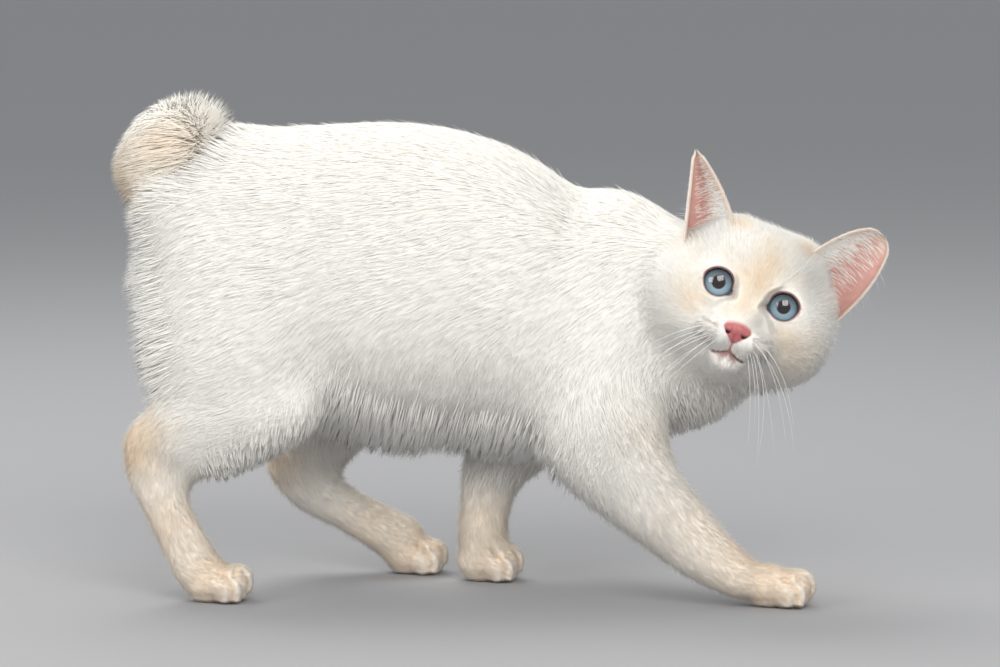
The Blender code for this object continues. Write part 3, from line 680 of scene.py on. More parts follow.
shapeFace(skin)
applyAll(skin)
edited(skin, (bpy.ops.mesh.quads_convert_to_tris, {}), outwardFaces)
bpy.ops.object.shade_smooth()
points, normals = pointsOf(skin), normalsOf(skin)
colours, gloss = skinColours(points, normals)
for layer in list(skin.data.color_attributes):
    skin.data.color_attributes.remove(layer)
paint(skin, "skinColour", colours)
measure(skin, "skinRough", gloss)

skinMaterial, skinShader, wire = newMaterial("skinAndUndercoat", Specular_IOR_Level=0.35, Subsurface_Weight=0.0)
grain = noise(wire, 900.0, 4.0)
bump = wire.out(wire.node("ShaderNodeBump", Strength=0.35, Distance=0.0004, Height=grain))
joinTo(wire, skinShader, Base_Color=shaded(wire, "skinColour", 0.25, grain, 0.3, (0.75, 0.72, 0.70)),
       Roughness=attribute(wire, "skinRough", "Fac"), Normal=bump)
finishPiece(skin, skinMaterial, "coat", "nose", *fleshNodes)


# An unwrap of the skin, where each tuft gets its place in the coat's OFBake map

unwrapSet = dict(faces=9000, angle=66, margin=0.004, patch=0.003)


def unwrapSkin(skin):
    twin = skin.copy()
    twin.data = skin.data.copy()
    placed(twin).parent = None
    thin = twin.modifiers.new("thin", "DECIMATE")
    thin.ratio = unwrapSet["faces"] / len(twin.data.polygons)
    applyAll(twin)
    settings = dict(angle_limit=math.radians(unwrapSet["angle"]), island_margin=unwrapSet["margin"])
    edited(twin, (bpy.ops.uv.smart_project, settings))
    flat = np.empty(len(twin.data.loops) * 2, np.float32)
    twin.data.uv_layers.active.data.foreach_get("uv", flat)
    found = dict(points=pointsOf(twin), faces=cornersOf(twin), flat=flat.reshape(-1, 3, 2).astype(float))
    found["tree"] = BVHTree.FromPolygons(found["points"].tolist(), found["faces"].tolist())
    bpy.data.objects.remove(twin)
    return found


def flatPlaces(unwrap, points):  # the unwrap's place under each point
    hits = [unwrap["tree"].find_nearest(p) for p in points.tolist()]
    index = np.array([hit[2] for hit in hits])
    place = np.array([tuple(hit[0]) for hit in hits])
    a, b, c = (unwrap["points"][unwrap["faces"][index, k]] for k in range(3))
    whole = span(np.cross(b - a, c - a)) + 1e-15
    u = span(np.cross(b - place, c - place)) / whole
    v = span(np.cross(a - place, c - place)) / whole
    u, v = u / np.maximum(u + v, 1), v / np.maximum(u + v, 1)
    w = 1 - u - v
    corner = unwrap["flat"][index]
    return corner[:, 0] * u[:, None] + corner[:, 1] * v[:, None] + corner[:, 2] * w[:, None]


# Tufts: three-sided, tapered, straight or bowed, and closed at the root

def tufts(name, soft, runs, normals, tipNormals, widths, colours, *nodes):  # runs: tufts x points x 3, root to tip
    count, rings = len(runs), runs.shape[1] - 1
    along = unit(np.gradient(runs, axis=1))
    across = unit(np.cross(along, normals[:, None, :]))
    up = np.cross(across, along)
    taper = np.array({1: [1.0], 2: [1.0, 0.78], 4: [1.0, 0.92, 0.66, 0.36]}[rings])
    half = widths[:, None, None] * taper[None, :, None] / 2
    ring = runs[:, :-1]
    rows = np.stack([
        ring + across[:, :-1] * half, ring - across[:, :-1] * half, ring + up[:, :-1] * half * 0.8,
    ], axis=2)
    points = np.concatenate([rows.reshape(count, -1, 3), runs[:, -1:]], axis=1)
    each = points.shape[1]
    lean = np.stack([across[:, :-1], -across[:, :-1], up[:, :-1]], axis=2).reshape(count, -1, 3)
    length = np.concatenate([np.repeat(np.linspace(0, 1, rings, endpoint=False), 3), [1]])
    facing = normals[:, None] + (tipNormals - normals)[:, None] * length[None, :, None]
    shade = unit(facing[:, :-1]) * soft + lean * (1 - soft)
    shade = unit(np.concatenate([shade, unit(tipNormals + along[:, -1] * 0.3)[:, None]], axis=1))
    pattern = [(0, 2, 1)]
    for r in range(rings - 1):
        for one, two in ((0, 2), (2, 1), (1, 0)):
            a, b = r * 3 + one, r * 3 + two
            pattern += [(a, a + 3, b), (b, a + 3, b + 3)]
    last = (rings - 1) * 3
    pattern += [(last, each - 1, last + 2), (last + 2, each - 1, last + 1), (last + 1, each - 1, last)]
    pattern = np.array(pattern)
    faces = (pattern[None] + (np.arange(count) * each)[:, None, None]).reshape(-1, 3)
    flatPoints = points.reshape(-1, 3)
    flatPoints[:, 2] = np.maximum(flatPoints[:, 2], 0.15 * mm)
    made = pieceFrom(name, flatPoints, faces)
    under = np.array([1.0] + [1.0, 1.0, 1.0, 1.0, -1.0, -1.0] * (rings - 1) + [1.0, 1.0, -1.0])
    cornerNormals = shade.reshape(-1, 3)[faces].reshape(count, -1, 3, 3) * under[None, :, None, None]
    made.data.normals_split_custom_set(cornerNormals.reshape(-1, 3).astype(np.float32))
    # painted shade deep in the coat: each tuft a little darker at its root than at its tip
    shadedAtRoot = colours[:, None, :] * (0.93 + 0.07 * length)[None, :, None]
    paint(made, "coatColour", shadedAtRoot.reshape(-1, 3))
    patch = np.stack([np.concatenate([np.tile((0, 1, 0.5), rings), [0.5]]), length], axis=1) - 0.5
    flat = flatPlaces(unwrap, runs[:, 0])
    uv = np.clip(flat[:, None, :] + patch[None] * unwrapSet["patch"], 0.0005, 0.9995).reshape(-1, 2)
    layer = made.data.uv_layers.new(name="OFBake")
    put(layer.data, "uv", uv[faces.ravel()])
    finishPiece(made, coatMaterial, "coat", *nodes)


def varied(width, count):  # widths about this many millimetres
    return width * mm * draw.uniform(0.7, 1.2, count)


def bowed(roots, tips, bow, count):  # runs of points from root to tip, bent sideways in the middle
    s = np.linspace(0, 1, count)[None, :, None]
    return roots[:, None] + (tips - roots)[:, None] * s + bow[:, None] * np.sin(math.pi * s)


def scatter(points, faces, weights, count):  # roots over triangles, as weights ask
    a, b, c = (points[faces[:, k]] for k in range(3))
    area = span(np.cross(b - a, c - a)) / 2
    share = area * weights[faces].mean(axis=1)
    spot = faces[draw.choice(len(faces), size=count, p=share / share.sum())]
    u, v = draw.random(count), draw.random(count)
    u, v = np.where(u + v > 1, 1 - u, u), np.where(u + v > 1, 1 - v, v)
    return spot, np.stack([1 - u - v, u, v], axis=1)


def between(values, spot, share):  # the values at places on triangles
    return (values[spot] * share.reshape(share.shape + (1,) * (values.ndim - 1))).sum(axis=1)


def gathered(roots, tips, share):  # tips drawn towards those that grow beside them
    wander = np.stack([ripple(roots, 10, k) for k in (41, 42, 43)], axis=1)
    cell = np.floor(roots / (6 * mm) + 0.5 * wander).astype(int)
    group = np.unique(cell @ (1, 1009, 1018081), return_inverse=True)[1]
    held = np.bincount(group)[:, None]
    middle = np.stack([np.bincount(group, tips[:, k]) for k in range(3)], axis=1) / held
    return tips + (middle[group] - tips) * share


def lying(roots, normals, flowHere, spread, gather, strays):  # straight runs along the skin, and their tips' normals
    lie, lengths, rises = unit(flowHere[:, :3]), flowHere[:, 3], flowHere[:, 4]
    lie = unit(laidFlat(lie, normals))
    side = unit(np.cross(normals, lie))
    turn = draw.normal(0, spread, len(roots)) + 0.16 * (0.6 * ripple(roots, 8, 11) + 0.8 * ripple(roots, 30, 12))
    way = lie * np.cos(turn)[:, None] + side * np.sin(turn)[:, None]
    rises = rises * draw.uniform(0.55, 1.1, len(roots)) * (1 + 0.15 * ripple(roots, 11, 21))
    rises *= np.where(draw.random(len(roots)) < strays, 1.9, 1)
    lengths = lengths * draw.uniform(0.75, 1.12, len(roots))
    along = np.sqrt(np.maximum(lengths ** 2 - rises ** 2, (0.3 * lengths) ** 2))
    aims = roots + way * along[:, None]
    hits = [unwrap["tree"].find_nearest(p) for p in aims.tolist()]
    onSkin, outwards = np.array([hit[0] for hit in hits]), np.array([hit[1] for hit in hits])
    outwards = np.where(dot(outwards, normals) > 0.2, outwards, normals)
    tips = gathered(roots, onSkin + outwards * rises[:, None], gather)
    return np.stack([roots, tips], axis=1), outwards


unwrap = unwrapSkin(skin)
print("skin unwrapped")

coatMaterial, coatShader, wire = newMaterial("whiteCoat", Roughness=0.62, Specular_IOR_Level=0.25, Sheen_Weight=0.25,
                                             Sheen_Roughness=0.4)
streak = noise(wire, 260.0, 2.0)
joinTo(wire, coatShader, Base_Color=shaded(wire, "coatColour", 0.15, streak, 0.25, (0.80, 0.78, 0.75)))

coatSet = given(fringe=17000, fringeWidth=0.50, fringeGather=0.42, rumpGather=0.22, gatherAbove=150, most=190000,
                steepest=0.985, headOn=(0.8, 0.98), turned=(-0.8, 0, 0.32), turnedFrom=-150, rise=0.9,
                bodyFlatter=0.12, legsFuller=0.3, legsShorter=0.22, faceShorter=0.55, faceFlatter=0.7)
# Tufts, width, how far tips gather, how soft the shading is, spread of the lie, share of strays
coatRegions = dict(
    coatBody=(112000, 0.66, 0.15, 0.95, 0.10, 0.06),
    coatLegs=(67000, 0.50, 0.10, 0.85, 0.20, 0.25),
    coatHead=(77000, 0.40, 0.12, 0.8, 0.13, 0.12),
)


def growCoat(skin):
    points, normals = pointsOf(skin), normalsOf(skin)
    faces = cornersOf(skin)
    lie = coatLie(points)
    inHead = toHead(points)
    x, y, z = inHead.T
    front = frontOf(inHead, -8, -2)
    overLip = (np.abs(x) < faceSet["mouthHalf"]) * np.exp(-((z - mouthLine(x) - 0.8) / 1.2) ** 4)
    lips = mouthShare(x, z) + lipShare(x, z) + overLip + philtrumShare(x, z) * 2
    bare = np.clip(noseShare(x, z) * front * 3 + lips * front, 0, 1)
    for way in (1, -1):
        out, ball, dx, dz = eyeAt(x, z, way)
        high = 0.07 * step(-1, 6, dz)
        bare = np.maximum(bare, front * (1 - step(1.08 + high, 1.15 + high, out)))
    bare = np.maximum(bare, (points[:, 2] < 1.2 * mm) * 1.0)
    body = toBody(points)
    fromTail = (body - skinSet["tailCore"]) / skinSet["tailRadii"]
    tail = 1 - step(1.05, 1.25, span(fromTail))
    covered = (1 - bare) * (1 - tail)
    head = headShare(points)
    belly = np.exp(-((body[:, 0] + 20) / 60) ** 4) * step(70, 84, body[:, 2])
    legs = (1 - head) * (1 - step(88, 112, body[:, 2])) * (1 - belly)
    eyes = np.max([front * (1 - step(1.3, 2.2, eyeAt(x, z, way)[0])) for way in (1, -1)], axis=0)
    lips = front * np.exp(-((z - mouthLine(x) + 1.5) / 5) ** 2) * (np.abs(x) < 14)
    trunk = (1 - head) * (1 - legs)
    lie[:, 3] *= 1 - coatSet["legsShorter"] * legs
    lie[:, 4] *= coatSet["rise"] - coatSet["bodyFlatter"] * trunk + coatSet["legsFuller"] * legs
    lie[:, 3] *= 1 - coatSet["faceShorter"] * np.maximum(eyes, lips)
    lie[:, 4] *= 1 - coatSet["faceFlatter"] * np.maximum(eyes, lips)
    weightsOf = dict(coatBody=trunk, coatLegs=legs * (1 + 0.8 * nearPaw(points)),
                     coatHead=head * (1 + 1.2 * step(-20, 5, y)))
    for label, (count, width, gather, soft, spread, strays) in coatRegions.items():
        spot, share = scatter(points, faces, weightsOf[label] * covered, count)
        root = between(points, spot, share)
        out = unit(between(normals, spot, share))
        flowHere = between(lie, spot, share)
        if label != "coatHead":  # where the lie meets the skin head on, it turns to the rear
            headOn = step(*coatSet["headOn"], np.abs(dot(unit(flowHere[:, :3]), out)))
            headOn *= root[:, :1] > coatSet["turnedFrom"] * mm  # not under the rump, where it runs on downwards
            flowHere[:, :3] = unit(flowHere[:, :3]) + headOn * coatSet["turned"]
        keep = np.abs(dot(unit(flowHere[:, :3]), out))[:, 0] < coatSet["steepest"]
        root, out, flowHere = root[keep], out[keep], flowHere[keep]
        flowHere[:, 4] *= 1 + 1.3 * dotShare(toHead(root))
        runs, tipOut = lying(root, out, flowHere, spread, gather, strays)
        colours = coatColour(root) * draw.uniform(0.94 if label == "coatBody" else 0.87, 1.03, (len(root), 1))
        widths = varied(width, len(root))
        widths *= np.clip(flowHere[:, 3] / ((5 if label == "coatHead" else 9) * mm), 0.6, 1.2)
        order = np.argsort(root[:, 0])
        parts = math.ceil(len(root) * 4 / coatSet["most"])  # a straight tuft has 4 triangles
        for k, part in enumerate(np.array_split(order, parts), 1):
            tufts(f"{label}{k}", soft, *(values[part] for values in (runs, out, tipOut, widths, colours)))


growCoat(skin)


def growFringe(skin):
    points, normals = pointsOf(skin), normalsOf(skin)
    faces = cornersOf(skin)
    body = toBody(points)
    shares = np.stack([share * np.exp(-(span(body - place) / reach) ** 2)
                       for place, way, length, reach, share in fringes], axis=1)
    total = shares.sum(axis=1)
    ways = shares @ unit(np.array([row[1] for row in fringes], float)) / np.maximum(total, 1e-9)[:, None]
    lengths = shares @ np.array([row[2] for row in fringes], float) / np.maximum(total, 1e-9)
    weights = step(0.15, 0.7, total) * (1 - headShare(points)) * (body[:, 2] > 60)
    spot, share = scatter(points, faces, weights, coatSet["fringe"])
    root, out, way = (between(v, spot, share) for v in (points, normals, ways))
    flatWay = unit(laidFlat(way, out))
    way = unit(way * 0.75 + flatWay * 0.45 + out * 0.22 + draw.normal(0, 0.09, way.shape))
    tips = root + way * (between(lengths, spot, share) * draw.uniform(0.6, 1.1, len(root)))[:, None] * mm
    high = root[:, 2:] > coatSet["gatherAbove"] * mm
    tips = gathered(root, tips, np.where(high, coatSet["rumpGather"], coatSet["fringeGather"]))
    runs = bowed(root, tips, (flatWay * 1.2 + out * 0.6) * mm, 3)
    colours = coatColour(root) * draw.uniform(0.94, 1.04, (len(root), 1))
    widths = varied(coatSet["fringeWidth"], len(root))
    tufts("coatFringe", 0.8, runs, out, out, widths, colours)


growFringe(skin)


# The bobtail's own locks

tailSet = given(root=(-149, 0, 237), core=(-177, 0, 242), radii=(15, 13.5, 16), middle=(-176, 0, 239), slope=0.764,
                reach=(40, 31, 28.5), rump=(0.82, 0, -0.57), limit=0.66, seam=(-0.15, 0.6), aside=0.25,
                count=20000, width=0.78, shortest=0.50, longer=0.53, cream=0.42, apricot=0.22)


def growTail():
    count = tailSet["count"]
    k = np.arange(count)
    height = 1 - 2 * (k + 0.5) / count
    turn = math.pi * (3 - math.sqrt(5)) * k
    ring = np.sqrt(1 - height ** 2)
    way = np.stack([ring * np.cos(turn), ring * np.sin(turn), height], axis=1)
    way = unit(way + draw.normal(0, 0.05, way.shape))
    rump = tailSet["rump"]
    way = way[way @ rump < tailSet["limit"]]
    count = len(way)
    base = tailSet["core"] + way * (tailSet["radii"] * draw.choice((0.9, 1.25), (count, 1)))
    lie = laidFlat(unit(base - tailSet["root"]), way)
    clump = np.stack([ripple(way * 0.03, 9, s) for s in (31, 32, 33)], axis=1) * 0.16
    flatter = 0.30 + 1.0 * step(0.35, 0.95, np.abs(way[:, 1:2]))
    seam = step(*tailSet["seam"], way @ rump)[:, None]
    flatter *= 1 - 0.5 * seam
    stray = draw.normal(0, 0.09, way.shape)
    aim = unit(way * (1.15 - 0.35 * flatter) + lie * flatter + clump + stray + (0, 0, -0.10))
    reach = (tailSet["shortest"] + tailSet["longer"] * draw.random(count) ** 0.8)[:, None]
    aim = unit(aim - rump * np.maximum(aim @ rump, 0)[:, None] * tailSet["aside"])
    c, s = math.cos(tailSet["slope"]), math.sin(tailSet["slope"])
    sloped = np.array(((c, 0, s), (0, 1, 0), (-s, 0, c)))
    tip = tailSet["middle"] + (aim @ sloped.T * tailSet["reach"]) @ sloped * reach
    bow = laidFlat(way, aim) * 4 + way * 1.5
    runs = fromBody(bowed(base, tip, bow, 3))
    tint = coatColour(runs[:, 0])
    low = step(0.1, -0.7, way[:, 2]) * step(0.1, -0.4, way[:, 0])
    lowLeft = way @ unit(np.array([-0.75, -0.45, -0.3]))
    tint = mix(tint, coatColours["cream"], tailSet["cream"] * np.exp(-(lowLeft - 0.95) ** 2 / 0.06))
    tint = mix(tint, coatColours["apricot"], tailSet["apricot"] * low)
    tint *= draw.uniform(0.95, 1.03, (count, 1))
    beside = np.stack([np.full(count, -0.2), np.where(way[:, 1] > 0, 0.9, -0.9), np.full(count, 0.5)], axis=1)
    way = unit(way + seam * beside * 1.3)
    widths = varied(tailSet["width"], count)
    tipNormals = unit(way + aim * (1 - 0.6 * seam))
    tufts("coatTail", 0.92, runs, way, tipNormals, widths, tint, "tail")


growTail()


# Eyes: a ball with a sunk iris under a clear cornea

eyeSet = dict(iris=8.6, pupil=3.75, sink=1.1, sides=96)
eyeColours = given(pupil=(0.010, 0.006, 0.005), inner=(0.27, 0.37, 0.42), middle=(0.16, 0.26, 0.33),
                   outer=(0.02, 0.035, 0.05), white=(0.55, 0.42, 0.38))


def spunPiece(name, profile, centre, sides):  # a profile of radius and depth, spun about the eye's axis
    turn = np.linspace(0, 2 * math.pi, sides, endpoint=False)
    rows = [np.stack([r * np.cos(turn), np.full(sides, d), r * np.sin(turn)], axis=1) for r, d in profile]
    points = np.concatenate(rows) + centre
    faces = []
    for i in range(len(profile) - 1):
        a = i * sides + np.arange(sides)
        b = i * sides + (np.arange(sides) + 1) % sides
        faces += np.stack([a, b, b + sides], axis=1).tolist()
        faces += np.stack([a, b + sides, a + sides], axis=1).tolist()
    made = pieceFrom(name, fromHead(points), faces)
    edited(made, (bpy.ops.mesh.remove_doubles, dict(threshold=0.00002)), outwardFaces)
    return made


eyeMaterial, eyeShader, wire = newMaterial("iris", Specular_IOR_Level=0.0, Roughness=0.5)
joinTo(wire, eyeShader, Base_Color=attribute(wire, "irisColour"))
clearMaterial = newMaterial("cornea", Base_Color=(1, 1, 1, 1), Metallic=1.0, Roughness=0.03, Alpha=0.07)[0]


for way, side in ((1, "Right"), (-1, "Left")):
    centre = (way * skinSet["eyeX"], skinSet["eyeY"], 0)
    radius, iris = skinSet["eyeRadius"] - 0.1, eyeSet["iris"]
    edge = math.sqrt(radius ** 2 - iris ** 2)
    rim = math.asin(iris / radius)
    sunk = edge - eyeSet["sink"] - 0.05
    t = np.linspace(0, 1, 22)
    bowl = list(zip(np.maximum(iris * t, 0.001), sunk + eyeSet["sink"] * 0.9 * step(0.3, 1.0, t)))
    around = [(max(radius * math.sin(a), 0.001), radius * math.cos(a)) for a in np.linspace(rim, math.pi, 22)]
    ball = spunPiece("eye" + side, bowl + around, centre, eyeSet["sides"])
    local = toHead(pointsOf(ball)) - centre
    far = np.hypot(local[:, 0], local[:, 2])
    turn = np.arctan2(local[:, 2], local[:, 0])
    fibre = 0.5 + 0.5 * np.sin(turn * 37 + 2.1 * np.sin(turn * 11) + 0.8 * far) * np.sin(turn * 23 + 1.3 * far)
    name = eyeColours
    colour = np.tile(name["inner"], (len(local), 1))
    colour = mix(colour, name["middle"], step(3.6, 6.2, far) * (0.65 + 0.35 * fibre))
    colour = mix(colour, name["outer"], step(5.9, 7.5, far) * 0.9)
    # painted shadow of the upper lid: the iris darker towards its top and lighter below
    colour *= ((0.42 + 0.72 * (1 - step(-5, 6, local[:, 2]))) * (1 - 0.45 * step(3.5, 7.5, local[:, 2])))[:, None]
    colour = mix(colour, name["pupil"], 1 - step(eyeSet["pupil"] - 0.3, eyeSet["pupil"] + 0.25, far))
    colour = mix(colour, name["white"], step(-0.1, 0.1, edge - 0.3 - local[:, 1]) * step(8.0, 8.6, far))
    paint(ball, "irisColour", colour)
    finishPiece(ball, eyeMaterial, "eye", "eye_" + side.lower())
    outer = radius * 1.003
    bulge = [(outer * math.sin(a), outer * math.cos(a) + 0.45 * math.cos(a / rim * math.pi / 2))
             for a in np.linspace(0.0001, rim, 18)]
    cornea = spunPiece("cornea" + side, bulge, centre, eyeSet["sides"])
    finishPiece(cornea, clearMaterial, "eye")


# Ears: a cupped shell with fur behind and fine hair inside

earRows, earSides = 40, 28
# Kind, tufts, length, rise, width. The hairs are as long as the ear is wide there.
earCoat = [("back", 11000, 4.0, 0.8, 0.36), ("rim", 3600, 2.6, 0.5, 0.22), ("hairs", 700, 1.0, 1.2, 0.17)]


def earWall(ear, inset):  # rows of points from the base to the tip, in the head's frame
    inner, outer, tip = (ear[key] for key in ("inner", "outer", "tip"))
    back = unit(np.array([0.25 * np.sign(tip[0]), -1, -0.15]))
    sink = np.array((0, 0, -7.0))
    across = unit(outer - inner)
    rows = []
    for i in range(earRows + 1):
        up = i / earRows
        blunt = 1 - 0.6 * max(up - 0.9, 0) / 0.1
        if ear["tipHalf"] > 3:
            blunt = math.sqrt(max(1 - (max(up - 0.86, 0) / 0.14) ** 2, 0))
        edgeIn, edgeOut = (
            (base + sink * (1 - up)) * (1 - up) + (tip + across * side * ear["tipHalf"]) * up
            + ear[bow] * math.sin(math.pi * up)
            for base, side, bow in ((inner, -1, "bowIn"), (outer, 1, "bowOut")))
        middle, half = (edgeIn + edgeOut) / 2, (edgeOut - edgeIn) / 2
        half = half * (0.25 + 0.75 * blunt)
        reach = ear["cup"] * (1 - up) ** 0.7 + 3.0 * (0.3 + 0.7 * blunt)
        shrink = 1 - min(inset / np.linalg.norm(half), 0.5)
        turn = np.pi * np.arange(earSides + 1) / earSides
        deep = reach * (1 - min(inset / reach, 0.5)) * np.sin(turn)
        row = middle - half * shrink * np.cos(turn)[:, None] + back * deep[:, None]
        rows.append(row - unit(tip - middle) * min(inset, 0.6) * (i == earRows))
    return np.array(rows)


def upAndAcross(rows, columns):  # how far up and how far across each point of a wall is, from 0 to 1
    return np.repeat(np.arange(rows), columns) / (rows - 1), np.tile(np.arange(columns), rows) / (columns - 1)


def makeEar(name, ear):
    outside, inside = earWall(ear, 0.6), earWall(ear, 1.2)
    rows, columns = outside.shape[:2]
    points = np.concatenate([outside.reshape(-1, 3), inside.reshape(-1, 3)])
    faces = []

    def at(wall, i, k):
        return wall * rows * columns + i * columns + k

    for i in range(rows - 1):
        for k in range(columns - 1):
            faces.append((at(0, i, k), at(0, i, k + 1), at(0, i + 1, k + 1), at(0, i + 1, k)))
            faces.append((at(1, i, k), at(1, i + 1, k), at(1, i + 1, k + 1), at(1, i, k + 1)))
        for k in (0, columns - 1):
            faces.append((at(0, i, k), at(0, i + 1, k), at(1, i + 1, k), at(1, i, k)))
    for k in range(columns - 1):
        for i in (0, rows - 1):
            faces.append((at(0, i, k), at(0, i, k + 1), at(1, i, k + 1), at(1, i, k)))
    made = pieceFrom(name, fromHead(points), faces)
    edited(made, outwardFaces, (bpy.ops.mesh.quads_convert_to_tris, {}))
    i, k = upAndAcross(rows, columns)
    edge = np.minimum(k, 1 - k)
    world = fromHead(points)
    backColour = coatColour(world[:rows * columns])
    backColour = mix(backColour, coatColours["peach"], 0.6 * hill(edge, 0, 0.10))
    pink = np.tile(coatColours["pink"], (rows * columns, 1))
    # deeper, darker pink in the middle of the cup towards its base: the ear's own deeper pink and painted shade in
    # the cup's hollow
    pink = mix(pink, np.array((0.52, 0.24, 0.21)), 0.75 * hill(edge, 0.45, 0.28) * (1 - i))
    pale = np.clip(hill(edge, 0, 0.08) + 0.7 * step(0.75, 1.0, i), 0, 1)
    pink = mix(pink, coatColours["peach"], pale)
    pink = mix(pink, coatColours["cream"], 0.75 * hill(k, 0, 0.2) * (1 - 0.5 * step(0.2, 0.9, i)))
    pink *= (0.95 + 0.08 * ripple(world[rows * columns:], 4, 8))[:, None]
    paint(made, "skinColour", np.concatenate([backColour, pink]))
    measure(made, "skinRough", np.full(len(points), 0.6))
    finishPiece(made, skinMaterial, "coat", ear["node"])
    return outside, inside


def earFur(name, ear, outside, inside):
    rows, columns = outside.shape[:2]
    grid = np.arange(rows * columns).reshape(rows, columns)
    quads = np.concatenate([
        np.stack([grid[:-1, :-1], grid[:-1, 1:], grid[1:, 1:]], axis=-1).reshape(-1, 3),
        np.stack([grid[:-1, :-1], grid[1:, 1:], grid[1:, :-1]], axis=-1).reshape(-1, 3),
    ])
    half = span(inside[:, -1] - inside[:, 0]).repeat(columns)
    parts = []
    ahead = headTurn[:, 1]
    i, k = upAndAcross(rows, columns)
    rim = np.minimum(k, 1 - k)
    for kind, count, length, rise, width in earCoat:
        wall = inside if kind == "hairs" else outside
        points = fromHead(wall.reshape(-1, 3))
        up, along = unit(np.gradient(wall, axis=0)), unit(np.gradient(wall, axis=1))
        out = unit(np.cross(along, up))
        if ((wall - wall.mean(axis=1, keepdims=True)) * out).sum() < 0:
            out = -out
        out = out if kind == "back" else -out
        outer = (np.sign(k - 0.5) * hill(rim, 0, 0.10)).reshape(rows, columns, 1)
        if kind == "hairs":
            weights = hill(k, 0.08, 0.14) + 0.25 * (k < 0.55)
            weights = weights * (1.05 - 0.6 * i) * (i > 0.14) * (i < 0.93)
            way = unit(along + up * (0.35 - 0.9 * k.reshape(rows, columns, 1)))
        elif kind == "rim":
            weights = hill(rim, 0, 0.03) + 0.5 * step(0.95, 1.0, i)
            way = unit(up * 0.55 + along * outer * 0.9)
        else:
            weights = 1 + hill(rim, 0, 0.06)
            way = unit(up + along * outer * 0.25)
        out, way = (unit(v.reshape(-1, 3) @ headTurn.T) for v in (out, way))
        spot, share = scatter(points, quads, weights, count)
        root, normal, lie = (between(v, spot, share) for v in (points, out, way))
        rimHere = between(rim, spot, share)
        size = 1 - 0.45 * between(i, spot, share)
        normal = unit(normal)
        loose = 0.35 if kind == "rim" else 0.10
        sway = unit(unit(lie) + np.cross(normal, lie) * draw.normal(0, loose, (count, 1)))
        reach = (0.62 * half[spot[:, 0]])[:, None] if kind == "hairs" else size[:, None] * length
        tip = root + (sway * reach + normal * rise) * mm * draw.uniform(0.6, 1.1, count)[:, None]
        bow = normal * rise * 0.3 * mm + (np.cross(normal, sway) * reach * 0.10 * mm if kind == "hairs" else 0)
        runs = bowed(root, tip, bow, 5 if kind == "hairs" else 2)
        facing = unit(normal + ahead * (1.2 if kind == "hairs" else 1.5 * np.exp(-(rimHere[:, None] / 0.05) ** 2)))
        tint = np.tile(coatColours["white"], (count, 1)) if kind == "hairs" else coatColour(root)
        if kind != "hairs":
            pale = 0.7 * hill(rimHere, 0, 0.08) * draw.uniform(0.4, 1, count)
            tint = mix(tint, coatColours["peach"], pale)
        tint = tint * draw.uniform(0.88, 1.03, (count, 1))
        parts.append((runs, facing, facing, np.full(count, width * mm), tint))
    back, rim, hairs = parts
    tufts(name + "Fur", 0.75, *(np.concatenate(pair) for pair in zip(back, rim)))
    tufts(name + "Hairs", 0.8, *hairs)


for name, ear in earSet.items():
    earFur(name, ear, *makeEar(name, ear))


# Whiskers

whiskerSet = dict(count=8, thick=0.25, brow=2, front=-92.5, length=(35, 25), browLength=(20, 8), points=9, sides=4)


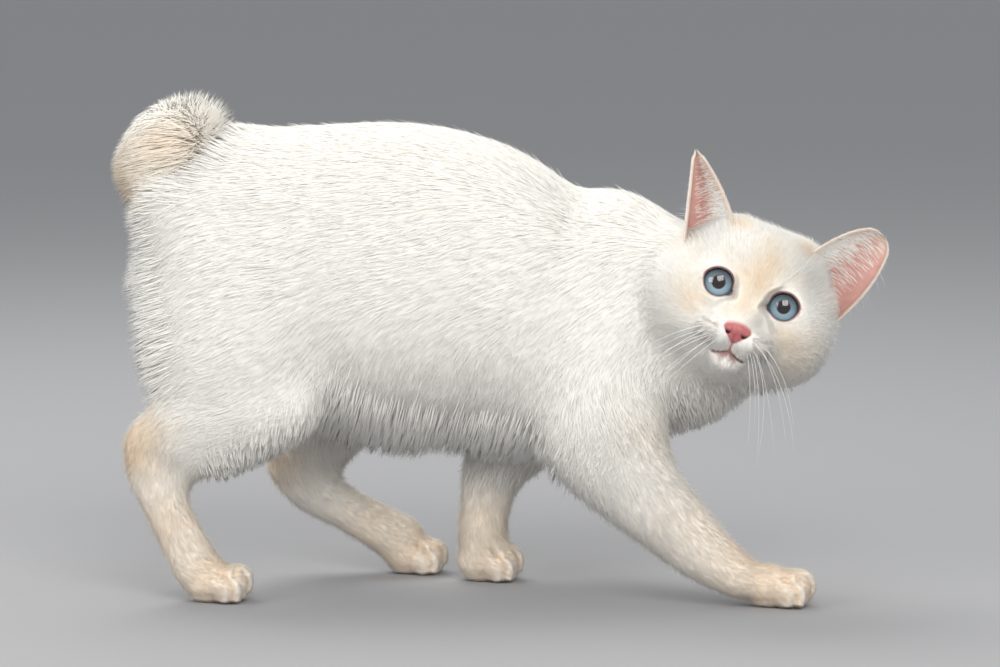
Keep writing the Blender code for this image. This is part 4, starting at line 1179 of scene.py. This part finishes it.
def makeWhiskers():
    tree = BVHTree.FromPolygons(pointsOf(skin).tolist(), cornersOf(skin).tolist())

    def spotAhead(x, z):  # where a line from ahead meets the skin
        return np.array(tree.ray_cast(Vector(fromHead(np.array((x, 60, z)))), Vector(-headTurn[:, 1]))[0])

    (short, more), (browShort, browMore) = whiskerSet["length"], whiskerSet["browLength"]
    s = np.linspace(0, 1, whiskerSet["points"])[:, None]
    runs = []
    for way in (1, -1):
        for n in range(whiskerSet["count"]):
            row, column = n % 3, n // 3
            x, z = way * (9 + column * 3.0), -24.5 - row * 2.4 + column * 0.9
            hit = spotAhead(x, z)
            length = (short + more * draw.random()) * (1 - 0.05 * row)
            out = np.array((way * (0.60 + 0.12 * column), -0.06 * column, -0.50 - 0.28 * row + 0.1 * column))
            out = unit(out + draw.normal(0, 0.08, 3)) @ headTurn.T
            droop = np.array((-1.0 + 0.9 * draw.random(), 0, -0.9)) * (0.40 + 0.2 * draw.random())
            run = hit + (out * s * length + droop * s ** 2 * length) * mm * 0.9
            run[:, 1] = np.maximum(run[:, 1], whiskerSet["front"] * mm)
            runs.append(run)
        for n in range(whiskerSet["brow"]):
            hit = spotAhead(way * (15 + 3 * n), 13)
            out = unit(np.array((way * 0.35, 0.25, 1.0)) + draw.normal(0, 0.12, 3)) @ headTurn.T
            runs.append(hit + out * s * (browShort + browMore * draw.random()) * mm)
    runs, rows, sides = np.array(runs), whiskerSet["points"], whiskerSet["sides"]
    along = unit(np.gradient(runs, axis=1))
    across = unit(np.cross(along, (0.1, 1, 0.2)))
    turn = 2 * math.pi * np.arange(sides)[:, None] / sides
    ring = across[:, :, None] * np.cos(turn) + np.cross(across, along)[:, :, None] * np.sin(turn)
    half = whiskerSet["thick"] * mm / 2 * (1 - 0.85 * s)
    points = (runs[:, :, None] + ring * half[:, None]).reshape(-1, 3)
    a = np.arange(rows * sides).reshape(rows, sides)
    b = np.roll(a, -1, axis=1)
    walls = np.stack([a[:-1], b[:-1], b[1:], a[1:]], axis=-1).reshape(-1, sides)
    pattern = np.concatenate([walls, a[:1, ::-1], a[-1:]])
    faces = (pattern + (np.arange(len(runs)) * a.size)[:, None, None]).reshape(-1, sides)
    made = pieceFrom("whiskers", points, faces)
    edited(made, outwardFaces)
    finishPiece(made, newMaterial("whiskers", Base_Color=(0.93, 0.92, 0.90, 1), Roughness=0.35)[0], "coat")


makeWhiskers()


# Floor, light and world

studio = dict(floor=(0.36, 0.36, 0.37), world=(0.96, 0.98, 1.0), worldStrength=0.60)
bpy.ops.mesh.primitive_plane_add(size=60, location=(0, 20, 0))
floor = bpy.context.object
floor.name = "floor"
floorColour = (*studio["floor"], 1)
floor.data.materials.append(newMaterial("floor", Base_Color=floorColour, Roughness=0.9, Specular_IOR_Level=0.1)[0])

lights = [
    ("keyTop", (-0.4, 0.75, 1.6), (0, 0.0, 0.14), (1.4, 1.0), 17.5, (1.0, 0.99, 0.96)),
    ("windowFront", (0.40, -1.9, 1.3), (0.0, 0, 0.15), (1.45, 1.3), 35.5, (1.0, 0.985, 0.955)),
    ("fillLeft", (-1.5, -1.2, 0.8), (-0.05, 0, 0.14), (1.0, 1.0), 12, (1.0, 0.99, 0.97)),
]
for name, place, target, size, power, colour in lights:
    data = bpy.data.lights.new(name, "AREA")
    data.shape, data.size, data.size_y, data.energy, data.color = "RECTANGLE", *size, power, colour
    lamp = placed(bpy.data.objects.new(name, data))
    lamp.location = place
    lamp.rotation_euler = (Vector(place) - Vector(target)).to_track_quat("Z", "Y").to_euler()
world = bpy.data.worlds.new("studio")
world.use_nodes = True
world.node_tree.nodes["Background"].inputs[0].default_value = (*studio["world"], 1)
world.node_tree.nodes["Background"].inputs[1].default_value = studio["worldStrength"]
bpy.context.scene.world = world
bpy.context.scene.view_settings.view_transform = "Standard"
